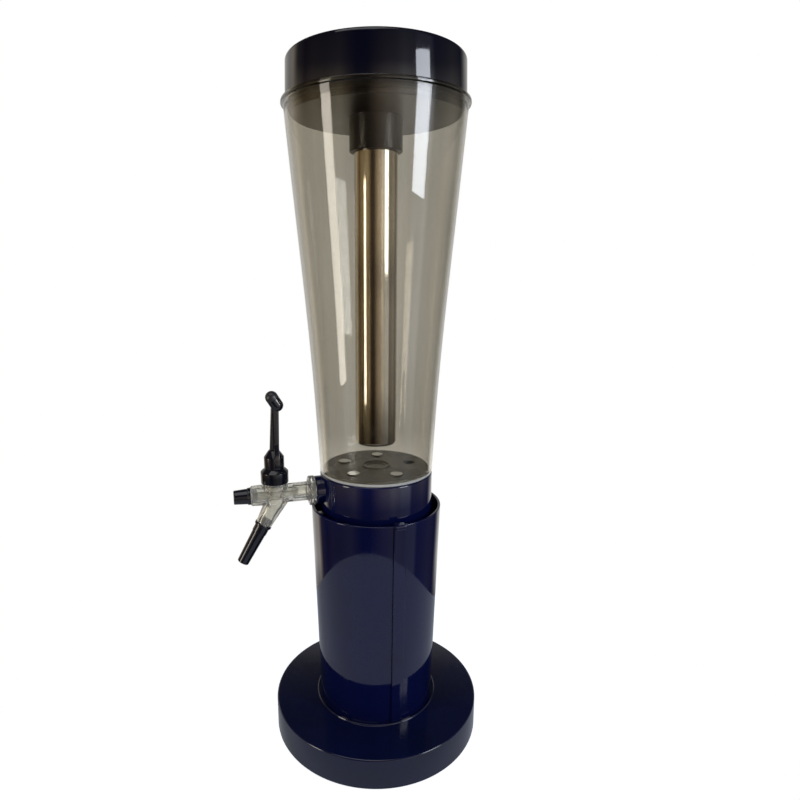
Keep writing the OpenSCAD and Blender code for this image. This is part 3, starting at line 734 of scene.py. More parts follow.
@dataclass
class Foot:
    """The weighted round foot and its hidden pieces."""

    wall: float = 3.0
    edge: float = 1.6
    ring_width: float = 1.5
    ring_lean: float = 0.4
    ring_height: float = 1.2
    ring_gap: float = 2.2
    rim_lift: float = 1.0
    screws: int = 6
    boss_radius: float = 5.0
    screw_head: float = 3.4
    pilot: float = 1.7
    core_screws: int = 4
    core_hole: float = 1.9

    def build(self) -> None:
        """Models the foot's shell and dresses the pieces inside it."""
        top = low_mm("column_core").z
        radius = high_mm("base_shell").x
        ring_in = Column().radius_foot + self.ring_gap
        ring_out = ring_in + self.ring_width
        crest = top + self.ring_height
        shell = lathe("foot_shell", filleted([
            (0, top, 0), (ring_in, top, 0.3), (ring_in, crest, 0.3), (ring_out - self.ring_lean, crest, 0.5),
            (ring_out, top, 0.6), (radius, top, self.edge), (radius, self.rim_lift, 0.5),
            (radius - self.wall, self.rim_lift, 0.3), (radius - self.wall, top - self.wall, 1.0),
            (0, top - self.wall, 0),
        ]), 192)
        self.add_bosses(shell, top)
        dress(soften(shell), "foot", "navy_foot", "navy_gloss", "base_shell")
        dress_node("base_pad", "rubber")
        dress_node("base_plate", "plate_plastic")
        dress_node("base_screws", "zinc_steel")
        dress_node("base_ballast", "ballast_iron")

    def add_bosses(self, shell: bpy.types.Object, top: float) -> None:
        """Adds the screw bosses under the shell's top, with their pilot holes, and the column's screw holes.

        Args:
            shell: the foot's shell.
            top: the height of its top face.
        """
        low = high_mm("base_plate").z
        circle = high_mm("base_screws").x - self.screw_head
        deep = high_mm("base_screws").z + 2
        for k in range(self.screws):
            turn = FULL_TURN * k / self.screws
            spot = Vector((circle * math.cos(turn), circle * math.sin(turn), 0))
            boss = rod("boss", self.boss_radius, low, top - self.wall + 0.5, 40)
            combine(shell, "UNION", aim(boss, spot))
            combine(shell, "DIFFERENCE", aim(rod("pilot", self.pilot, low - OVER, deep, 32), spot))
        core = Column().screw_circle
        for k in range(self.core_screws):
            turn = FULL_TURN * (k + 0.5) / self.core_screws
            spot = Vector((core * math.cos(turn), core * math.sin(turn), 0))
            hole = rod("core_hole", self.core_hole, top - self.wall - OVER, top + OVER, 32)
            combine(shell, "DIFFERENCE", aim(hole, spot))


@dataclass
class Column:
    """The column's tube, the wrapped sleeve with its lapped seam, and the clip."""

    radius_foot: float = 55.5
    radius_top: float = 61.4
    wall: float = 2.4
    gap: float = 0.3
    lap_width: float = 11.0
    lap_thick: float = 1.6
    lap_over: float = 5.0
    lap_join: float = 2.5
    seam_at: float = 4.0
    screw_circle: float = 43.0
    clip_thick: float = 1.3
    clip_width: float = 9.0

    def section(self, inner: float, outer: float) -> list[Point]:
        """The sheet's outline between two offsets from the sleeve's outside, with a rounded top rim."""
        foot = low_mm("column_core").z
        top = high_mm("column_sleeve").z
        return filleted([
            (self.radius_foot + outer, foot, 0.3), (self.radius_top + outer, top, 0.75),
            (self.radius_top + inner, top, 0.75), (self.radius_foot + inner, foot, 0.3),
        ], closed=True)

    def degrees(self, width: float) -> float:
        """The angle that a width spans round the sleeve at mid height."""
        return math.degrees(width / ((self.radius_foot + self.radius_top) / 2))

    def build(self) -> None:
        """Models the sleeve and its clip, and dresses the rest."""
        left = self.seam_at - self.degrees(self.lap_width) / 2
        right = self.seam_at + self.degrees(self.lap_width) / 2
        joint = right - self.degrees(self.lap_join)
        sheet = sector("sleeve_sheet", self.section(-self.wall, 0),
                       joint, 360 + left + self.degrees(self.lap_over), 180)
        lap = sector("sleeve_lap", self.section(self.gap, self.gap + self.lap_thick), left, right, 8)
        round_edges(lap, 0.5, degrees=50)
        bridge = sector("sleeve_bridge", self.section(-self.wall / 2, self.gap + self.lap_thick * 0.7),
                        joint + 0.1, right - 0.3, 4)
        sleeve = soften(join("column_sleeve_shell", sheet, lap, bridge))
        dress(sleeve, "foot", "navy_gloss", "navy_gloss", "column_sleeve")
        self.build_clip()
        dress_node("column_core", "navy_satin")
        dress_node("core_screws", "zinc_steel")

    def build_clip(self) -> None:
        """Models the folded clip that holds the seam at the sleeve's rim."""
        low, top = low_mm("sleeve_clip").z, high_mm("sleeve_clip").z
        rim = top - self.clip_thick
        inner = self.radius_top - self.wall - self.gap
        outer = self.radius_top + 2 * self.gap + self.lap_thick
        half = self.degrees(self.clip_width) / 2
        clip = sector("sleeve_clip_fold", filleted([
            (inner - self.clip_thick, low, 0.3), (inner - 0.25, low, 0.3), (inner, rim, 0.4), (outer, rim, 0.4),
            (outer, (low + rim) / 2, 0.2), (outer + self.clip_thick, (low + rim) / 2, 0.3),
            (outer + self.clip_thick, top, 0.9), (inner - self.clip_thick, top, 0.9),
        ], 4, closed=True), self.seam_at - half, self.seam_at + half, 8)
        dress(soften(round_edges(clip, 0.3)), "foot", "navy_gloss", "navy_gloss", "sleeve_clip")


@dataclass
class Tank:
    """The clear flared tank with its drained floor, and the collar that it stands in."""

    sag: float = 1.9
    skew: float = 0.5
    wall: float = 2.5
    rim: float = 3.1
    rim_reach: float = 2.0
    foot_step: float = 0.2
    foot_edge: float = 1.5
    ledge: float = 2.0
    spigot_radius: float = 49.1
    sump_radius: float = 46.9
    seat_depth: float = 4.0
    gasket: float = 1.0
    drains: int = 5
    drain_radius: float = 3.2
    drain_flare: float = 2.6
    drain_sink: float = 1.2
    drain_circle: float = 33.0
    spans: int = 44

    def flank(self, height: float) -> float:
        """The tank's outer radius at a height above the surface."""
        foot, top = high_mm("collar").z, high_mm("tank").z
        radius_foot = high_mm("collar").x - self.foot_step
        radius_top = high_mm("tank").x - self.rim_reach
        share = max(0.0, min(1.0, (height - foot) / (top - self.rim - foot)))
        return (radius_foot + (radius_top - radius_foot) * share
                - self.sag * math.sin(math.pi * share) - self.skew * math.sin(2 * math.pi * share))

    def run(self, start: float, end: float, inset: float) -> list[Point]:
        """Points down or up the flank, from one height to another, at an inset from its outside."""
        heights = [start + (end - start) * i / self.spans for i in range(self.spans + 1)]
        return [(self.flank(z) - inset, z) for z in heights]

    def build(self) -> None:
        """Models the tank, its floor and the collar."""
        self.build_tank()
        self.build_floor()
        self.build_collar()
        dress_node("tank_gasket", "rubber")
        dress_node("sump_floor", "navy_gloss")

    def build_tank(self) -> None:
        """Models the clear wall with its rounded foot, its inner ledge and its rim."""
        foot, top = high_mm("collar").z, high_mm("tank").z
        seat = foot - self.seat_depth + self.gasket
        under = top - self.rim
        lip = self.flank(top) + self.rim_reach
        turn = foot + 2 * self.foot_edge
        shelf = foot + self.ledge
        outline = [
            *filleted([(self.sump_radius, shelf, 0), (self.sump_radius, seat, 0.4), (self.spigot_radius, seat, 0.5),
                       (self.spigot_radius, foot, 0.2), (self.flank(foot), foot, self.foot_edge),
                       (self.flank(turn), turn, 0)])[:-1],
            *self.run(turn, under - 1, 0),
            *filleted([(self.flank(top), under - 1, 0), (self.flank(top), under, 0.6), (lip, under, 0.7),
                       (lip, top, 1.1), (self.flank(top) - self.wall, top, 0.9),
                       (self.flank(top) - self.wall, under, 0)])[1:-1],
            *self.run(under, shelf, self.wall), (self.sump_radius, shelf),
        ]
        tank = dress(lathe("clear_tank", outline, 160), "tank", "clear_tank", "clear_plastic", "tank")
        # the band round the foot gets the pale finish, a painted highlight
        dress_faces(tank, "painted_highlight_edge", lambda at: foot - 0.1 < at.z < turn - 0.4 and at.xy.length > self.spigot_radius)

    def build_floor(self) -> None:
        """Models the clear floor plate with its moulded ring and flared drains."""
        low = low_mm("tank_floor").z
        radius = high_mm("tank_floor").x
        face = high_mm("collar").z + 2 * self.ledge
        floor = lathe("clear_floor", filleted([
            (0, low, 0), (radius, low, 0.3), (radius, face, 0.5), (radius - 1.5, face, 0), (13.5, face, 0.5),
            (13.2, face + 1.1, 0.4),
            (11.5, face + 1.1, 0.4), (11.2, face, 0.4), (8.5, face, 0.4), (7.9, face - 0.8, 0.4),
            (0, face - 0.8, 0),
        ]), 128)
        wide = self.drain_radius + self.drain_flare
        for k in range(self.drains):
            turn = math.radians(90 + 360 / self.drains * k)
            spot = Vector((self.drain_circle * math.cos(turn), self.drain_circle * math.sin(turn), 0))
            hole = rod("drain_hole", self.drain_radius, low - OVER, face + OVER, 40)
            # the sink's wall is moulded in eight flats, which glint like a star
            flare = lathe("drain_flare", [(0, face - self.drain_sink), (self.drain_radius, face - self.drain_sink),
                                          (wide - 0.9, face - 0.9), (wide, face + 0.02), (wide, face + OVER),
                                          (0, face + OVER)], 8)
            combine(floor, "DIFFERENCE", aim(hole, spot), aim(flare, spot))
        dress(soften(floor), "tank", "clear_floor", "clear_plastic", "tank_floor")
        # the floor's outer edge gets the same pale finish, a painted highlight ring
        dress_faces(floor, "painted_highlight_edge", lambda at: at.z > face - 1.2 and at.xy.length > radius - 1.4)
        # the drains' flares and walls get the dark patches of painted shade
        ring = (self.drain_circle - wide, self.drain_circle + wide)
        dress_faces(floor, "drilled_edge", lambda at: ring[0] < at.xy.length < ring[1] and low < at.z < face - 0.05)

    def build_collar(self) -> None:
        """Models the collar's drum, the tap's boss and the keys."""
        low, top = low_mm("collar").z, high_mm("collar").z
        radius = high_mm("collar").x
        shoulder = low + 22
        bore = 43.7
        spigot = 46.7
        sump_low = low_mm("sump_floor").z
        drum = lathe("collar_drum", filleted([
            (bore, sump_low, 0.2), (bore, low, 0.5), (spigot, low, 1.0), (spigot, shoulder, 0.2),
            (radius, shoulder, 0.6), (radius, top, 1.8), (self.spigot_radius + 0.3, top, 0.4),
            (self.spigot_radius + 0.3, top - self.seat_depth, 0.2),
            (self.sump_radius, top - self.seat_depth, 0.3), (self.sump_radius, sump_low, 0.2),
        ], closed=True), 160)
        axis = middle_mm("valve_shaft").z
        boss = lathe("boss", filleted([(0, 0, 0), (13.0, 0, 0), (13.0, 8.3, 0.8), (0, 8.3, 0)]), 96)
        pad = lathe("pad", filleted([(0, 0, 0), (10.8, 0, 0.3), (10.8, 5.7, 0), (0, 5.7, 0)]), SMALL)
        combine(drum, "UNION", aim(boss, Vector((0, -radius + 2.3, axis)), OUT),
                aim(pad, Vector((0, -44.8, axis)), OUT))
        for side in (-1, 1):
            key = slab("key", [(-4.5, 2), (4.5, 2), (4.5, 26), (-4.5, 26)], 4.6, 0.7)
            combine(drum, "UNION", aim(key, Vector((0, side * (radius + 1.3), shoulder))))
        combine(drum, "DIFFERENCE", aim(rod("hole", 7.5, 43, 62), Vector((0, 0, axis)), OUT))
        dress(soften(drum), "tank", "navy_gloss", "navy_gloss", "collar")


@dataclass
class Tap:
    """The clear tap with its bonnet, plug and nozzle, drawn about the pot's centre."""

    lean: float = 29.8
    arm_back: float = 4.4
    arm_length: float = 31.8
    pot_radius: float = 11.6
    pot_top: float = 11.5
    neck_radius: float = 9.6
    neck_top: float = 19.0
    shank_radius: float = 8.6
    bore: float = 5.4

    def centre(self) -> Vector:
        """The pot's centre, where the tap's axis crosses the lever's stalk."""
        return Vector((0, middle_mm("ball_seat").y, middle_mm("valve_shaft").z))

    def spout_start(self) -> Vector:
        """Where the spout's axis meets the tap's axis."""
        return self.centre() - OUT * self.arm_back

    def spout_way(self) -> Vector:
        """The direction of the spout."""
        a = math.radians(self.lean)
        return Vector((0, -math.sin(a), -math.cos(a)))

    def build(self) -> None:
        """Models the tap's shell, bonnet, plug and nozzle and dresses the rest."""
        self.build_shell()
        self.build_bonnet()
        self.build_plug()
        self.build_nozzle()
        dress_node("tap_gasket", "rubber")
        dress_node("tap_nut", "nylon")
        dress_node("ball_seat", "nylon")
        dress_node("plug_seal", "silicone")
        dress_node("valve_shaft", "nylon")
        dress_node("seat_washer", "silicone")

    def build_shell(self) -> None:
        """Models the one-piece clear shell: shank, flange, pot, barrel and spout arm, bored through."""
        centre = self.centre()
        inner = -high_mm("tap_body").y - abs(centre.y)
        barrel = 21.4
        flange = -30.6 - 5.4
        body = lathe("clear_tap", filleted([
            (0, inner, 0), (7.4, inner, 0.4), (7.4, flange, 0.2), (13.6, flange, 0.5), (13.6, flange + 5.4, 1.3),
            (self.shank_radius, flange + 5.4, 2.0), (self.shank_radius, -8, 0), (10.0, 0, 0), (9.0, barrel, 0.6),
            (0, barrel, 0),
        ]), 96)
        aim(body, centre, OUT)
        pot = lathe("pot", [
            *arc(self.pot_radius, -90, 0, 14, (0, -4))[:-1],
            *filleted([(self.pot_radius, -4, 0), (self.pot_radius, self.pot_top, 0.6),
                       (self.neck_radius, self.pot_top, 0.2), (self.neck_radius, self.neck_top, 0.4),
                       (0, self.neck_top, 0)]),
        ], 96)
        arm = lathe("arm", filleted([(0, 0, 0), (10.4, 0, 0), (7.3, self.arm_length, 0.5),
                                     (0, self.arm_length, 0)]), 96)
        combine(body, "UNION", aim(pot, centre), aim(arm, self.spout_start(), self.spout_way()))
        round_edges(body, 0.5, 2, 50)
        way = lathe("water_way", [(0, inner - OVER), (self.bore, inner - OVER), (self.bore, -15.6), (4.2, -15.6),
                                  (4.2, -11.1), (5.7, -11.1), (5.7, barrel + OVER), (0, barrel + OVER)], SMALL)
        chamber = lathe("chamber", [(0, -7), (6.4, -7), (6.4, 5), (7.3, 5), (7.3, 20), (0, 20)], SMALL)
        spout = lathe("spout_bore", [(0, 3), (4.6, 3), (4.6, self.arm_length - 7), (5.6, self.arm_length - 7),
                                     (5.6, self.arm_length + OVER), (0, self.arm_length + OVER)], SMALL)
        combine(body, "DIFFERENCE", aim(way, centre, OUT), aim(chamber, centre),
                aim(spout, self.spout_start(), self.spout_way()))
        dress(soften(body, 38), "tank", "clear_tap", "clear_plastic", "tap_body")

    def build_bonnet(self) -> None:
        """Models the bonnet nut: a straight skirt, a rounded shoulder and the dome with its stalk slot."""
        lever = Lever()
        skirt = self.neck_radius + 0.1
        low, high = self.pot_top - lever.pivot_rise, self.neck_top + 0.3 - lever.pivot_rise
        radius = high_mm("bonnet_nut").x
        shoulder = lever.dome_radius * math.sin(math.acos(radius / lever.dome_radius))
        start = math.degrees(math.asin(shoulder / lever.dome_radius)) + 4
        bonnet = lathe("bonnet", [
            *filleted([(skirt, low, 0), (radius, low, 0.5), (radius, shoulder, 0.9),
                       (*arc(lever.dome_radius, start, start, 1)[0], 0)])[:-1],
            *arc(lever.dome_radius, start, 86, 12), *arc(6.3, 80, 28, 8),
            (7.05, 3.0), (7.05, high), (skirt, high), (skirt, low),
        ], 128)
        pivot = lever.pivot()
        aim(bonnet, pivot)
        combine(bonnet, "DIFFERENCE", lever.stalk_slot())
        dress(soften(bonnet), "tank", "navy_tap", "navy_gloss", "bonnet_nut")

    def build_plug(self) -> None:
        """Models the screwed front plug with its collar and tapered grip."""
        start = Vector((0, high_mm("front_plug").y, self.centre().z))
        plug = lathe("front_plug_cap", [
            (0, 18.5), (2.05, 18.5), (2.05, 0), *threads(5.6, 0, 5), *filleted([
                (5.6, 5.4, 0), (5.6, 6, 0.1), (7.7, 6, 0.3), (7.7, 8.5, 0.4), (7.0, 8.5, 0.2), (6.25, 20.8, 1.0),
                (0, 20.8, 0)]),
        ], 96)
        dress(aim(plug, start, OUT), "tank", "navy_tap", "navy_gloss", "front_plug")

    def build_nozzle(self) -> None:
        """Models the tapered nozzle with its thread, ring and neck."""
        length = 47.7
        nozzle = lathe("nozzle", [
            (3.9, 0), *threads(5.5, 0, 6), *filleted([
                (5.5, 6.4, 0), (5.5, 7, 0.1), (7.9, 7, 0.4), (7.9, 9.2, 0.4), (6.8, 9.2, 0.2), (6.8, 15.9, 0.2),
                (6.4, 15.9, 0.2), (5.4, length, 0.6), (3.9, length, 0.3), (3.9, 0, 0)]),
        ], 96)
        start = self.spout_start() + self.spout_way() * (self.arm_length - 7)
        dress(aim(nozzle, start, self.spout_way()), "tank", "navy_tap", "navy_gloss", "spout_nozzle")


@dataclass
class Lever:
    """The lever with its cup, ribs, stem and head, and the end cap, drawn above the tap's axis."""

    swing: float = 22.0
    pivot_rise: float = 11.0
    dome_radius: float = 16.42
    ball: float = 6.0
    stalk: float = 2.6
    stalk_gap: float = 0.4
    cup_radius: float = 9.0
    cup_gap: float = 0.35
    cup_rise: float = 35.4
    cup_cone: float = 6.2
    neck: float = 4.6
    stem_width: float = 7.0
    fin_width: float = 3.6
    back_foot: float = 4.5
    back_head: float = 5.5
    depth_foot: float = 8.5
    depth_head: float = 6.7
    head_radius: float = 5.7
    head_rise: float = 87.7
    head_out: float = 1.0
    head_back: float = 6.3
    head_tilt: float = 59.0

    def pivot(self) -> Vector:
        """The point that the lever turns about."""
        return Tap().centre() + UP * self.pivot_rise

    def head(self) -> tuple[Vector, Vector]:
        """The middle of the head's rim and the direction of its axis."""
        a = math.radians(self.head_tilt)
        return (Tap().centre() + Vector((0, self.head_out, self.head_rise)),
                Vector((0, -math.cos(a), math.sin(a))))

    def stalk_slot(self) -> bpy.types.Object:
        """The cutter for the slot that the stalk swings in."""
        radius = self.stalk + self.stalk_gap
        reach = self.dome_radius + OVER
        lean = math.radians(self.swing)
        fan = slab("slot_fan", [(0, 3.0), (0, reach), (-reach * math.tan(lean / 2), reach),
                                (-reach * math.sin(lean), reach * math.cos(lean))], 2 * radius - 0.2, turn=90)
        aim(fan, self.pivot())
        for a in (0.0, lean):
            end = rod("slot_end", radius, 3.5, reach, 48)
            combine(fan, "UNION", aim(end, self.pivot(), Vector((0, -math.sin(a), math.cos(a)))))
        return fan

    def build(self) -> None:
        """Models the lever and its end cap."""
        centre = Tap().centre()
        cup = self.build_cup()
        combine(cup, "UNION", *self.build_stem(), *self.build_head())
        rim, way = self.head()
        combine(cup, "DIFFERENCE", aim(rod("peg_hole", 3.7, -4.5, 0.5, 48), rim, way))
        inner = rod("stalk", self.stalk, 0, self.cup_rise - self.pivot_rise, 48)
        finger = lathe("finger", [*arc(2.4, -90, 35, 10), (1.8, 2.2), (1.8, self.pivot_rise),
                                  (0, self.pivot_rise)], 48)
        ball = lathe("ball", arc(self.ball, -90, 90, 24), SMALL)
        combine(cup, "UNION", aim(inner, self.pivot()), aim(ball, self.pivot()), aim(finger, centre))
        cup.name = "lever_arm"
        dress(soften(cup, 36), "lever", "navy_tap", "navy_gloss", "lever")
        self.build_cap()

    def build_cup(self) -> bpy.types.Object:
        """The cup with its ribs, hollowed to glide over the bonnet's dome."""
        centre = Tap().centre()
        cup = lathe("cup", filleted([
            (0, self.pivot_rise + 4, 0), (self.cup_radius, self.pivot_rise + 4, 0),
            (self.cup_radius, self.cup_rise, 0.8), (self.neck, self.cup_rise + self.cup_cone, 0.8),
            (0, self.cup_rise + self.cup_cone, 0),
        ]), 96)
        half = self.cup_radius + 0.4
        ribs = slab("ribs", [
            (-half, 25), (half, 25), (half, self.cup_rise), (self.stem_width / 2, self.cup_rise + 12),
            (-self.stem_width / 2, self.cup_rise + 12), (-half, self.cup_rise),
        ], self.back_foot + 0.4, 0.6)
        aim(ribs, Vector((0, (self.back_foot - 0.4) / 2, 0)))
        combine(cup, "UNION", ribs)
        hollow = lathe("hollow", arc(self.dome_radius + self.cup_gap, -90, 90, 48), 128)
        combine(cup, "DIFFERENCE", aim(hollow, UP * self.pivot_rise))
        return aim(cup, centre)

    def build_stem(self) -> list[bpy.types.Object]:
        """The stem's broad bar and the thinner fin along its front."""
        low, high = self.cup_rise, self.head_rise - self.head_back * math.sin(math.radians(self.head_tilt))
        bar = slab("stem_bar", [(self.back_foot, low), (self.back_head, high), (-0.4, high), (-0.4, low)],
                   self.stem_width, 0.9, 90)
        fin = slab("stem_fin", [(1.5, low), (1.5, high), (self.back_head - self.depth_head, high),
                                (self.back_foot - self.depth_foot, low)], self.fin_width, 0.7, 90)
        return [aim(bar, Tap().centre()), aim(fin, Tap().centre())]

    def build_head(self) -> list[bpy.types.Object]:
        """The rounded head that the cap closes."""
        rim, way = self.head()
        head = lathe("head", [*arc(self.head_radius, -90, 0, 14, (0, -self.head_back)),
                              (self.head_radius, -0.25), (self.head_radius - 0.25, 0), (0, 0)], 96)
        return [aim(head, rim, way)]

    def build_cap(self) -> None:
        """Models the domed end cap with its peg."""
        rim, way = self.head()
        cap = lathe("lever_end_cap", [
            (0, -4), (3.6, -4), (3.6, 0), (self.head_radius - 0.25, 0), (self.head_radius, 0.25),
            *arc(self.head_radius, 0, 90, 14, (0, 2.4)),
        ], 96)
        dress(aim(cap, rim, way), "lever", "grey_plastic", "grey_plastic", "lever_cap")


@dataclass
class Lid:
    """The lid's cap and insert, and the ice tube that hangs from them."""

    wall: float = 2.6
    draft: float = 0.9
    edge: float = 3.6
    cap_gap: float = 0.7
    insert_drop: float = 11.3
    insert_floor: float = 3.0
    socket_wall: float = 3.7
    groove: float = 1.4
    webs: int = 6
    web_height: float = 12.0
    sheet: float = 0.8

    def build(self) -> None:
        """Models the lid, its insert and the tube."""
        self.build_cap()
        self.build_insert()
        self.build_tube()
        dress_node("lid_seal", "rubber")
        dress_node("tube_seal", "rubber")

    def build_cap(self) -> None:
        """Models the deep round cap."""
        rim, top = low_mm("lid_cap").z, high_mm("lid_cap").z
        radius = high_mm("lid_cap").x
        hanger = radius - self.wall - self.cap_gap
        shelf = high_mm("lid_insert").z
        cap = lathe("lid_cap_shell", filleted([
            (0, top - self.wall, 0), (hanger - self.wall, top - self.wall, 1.0), (hanger - self.wall, shelf, 0.3),
            (hanger, shelf, 0.3), (hanger, shelf + 3, 0.1), (radius - self.wall, shelf + 2, 0.1),
            (radius - self.wall, rim, 0.3), (radius, rim, 0.5), (radius - self.draft, top, self.edge), (0, top, 0),
        ], 10), 192)
        dress(cap, "lid", "navy_lid", "navy_gloss", "lid_cap")

    def build_insert(self) -> None:
        """Models the insert: a deep dish with the seal's groove, the tube's socket and stiffening webs."""
        radius = high_mm("lid_insert").x
        top = high_mm("lid_insert").z
        low = low_mm("lid_cap").z - self.insert_drop
        floor = low + self.insert_floor
        mouth = high_mm("tube_seal").z
        tube = high_mm("ice_tube").x + 0.1
        socket = high_mm("ice_tube").x + self.socket_wall
        roof = mouth + 2.5
        groove = (low_mm("lid_seal").z, high_mm("lid_seal").z)
        insert = lathe("lid_insert_dish", filleted([
            (0, mouth, 0), (tube, mouth, 0.3), (tube, low_mm("lid_insert").z, 0.3),
            (socket, low_mm("lid_insert").z, 0.9), (socket, low, 1.0), (radius, low, 1.6),
            (radius, groove[0], 0.2), (radius - self.groove, groove[0], 0.2), (radius - self.groove, groove[1], 0.2),
            (radius, groove[1], 0.2), (radius, top, 0.5), (radius - self.wall, top, 0.5),
            (radius - self.wall, floor, 0.6), (socket, floor, 0.6), (socket, roof, 0.6), (0, roof, 0),
        ]), 160)
        for k in range(self.webs):
            web = slab("web", [(socket - OVER, floor - 0.1), (radius - self.wall + OVER, floor - 0.1),
                               (radius - self.wall + OVER, floor + self.web_height),
                               (socket - OVER, floor + self.web_height)], self.wall, turn=360 / self.webs * k)
            combine(insert, "UNION", web)
        dress(soften(insert), "lid", "lid_satin", "navy_gloss", "lid_insert")

    def build_tube(self) -> None:
        """Models the drawn steel tube with its closed flat bottom, rounded at the edge."""
        low, high = low_mm("ice_tube").z, high_mm("ice_tube").z
        radius = high_mm("ice_tube").x
        tube = lathe("ice_tube_shell", filleted([
            (0, low, 0), (radius, low, 3.0), (radius, high, 0.3), (radius - self.sheet, high, 0.3),
            (radius - self.sheet, low + self.sheet, 2.2), (0, low + self.sheet, 0),
        ], 8), 128)
        dress(tube, "lid", "stainless", "stainless", "ice_tube")


# ---------------------------------------------------------------- studio


@dataclass(frozen=True)
class Band:
    """One upright stretch of the room round the tower, as polished pieces mirror it."""

    bearing: float
    colour: str
    strength: float


# Bearings are in degrees from +X. The pale backdrop stands behind the tower, across +-180.
ROOM = (
    Band(-180, "fffdf8", 0.64), Band(-150, "fffaf0", 0.64), Band(-138, "fff0d8", 0.95), Band(-126, "f0dcb8", 0.7),
    Band(-112, "8a7450", 1.0), Band(-98, "c8b08c", 1.0), Band(-80, "c8b890", 1.0), Band(-60, "f0dcb8", 1.0),
    Band(-50, "b09c7c", 1.0), Band(-40, "54493c", 1.0), Band(-26, "54493c", 1.0), Band(-16, "b8a48c", 1.0),
    Band(-4, "f8e6d0", 1.0), Band(8, "fff0e0", 1.2), Band(18, "fffaf0", 1.7), Band(32, "fff8f0", 1.4),
    Band(36, "f4f8ff", 1.8), Band(54, "f4f8ff", 1.8), Band(60, "a8a49c", 1.0), Band(90, "c8c0b0", 1.0),
    Band(112, "6a665c", 1.0), Band(124, "c8c6c0", 0.8), Band(136, "fffdf8", 0.64), Band(180, "fffdf8", 0.64),
)


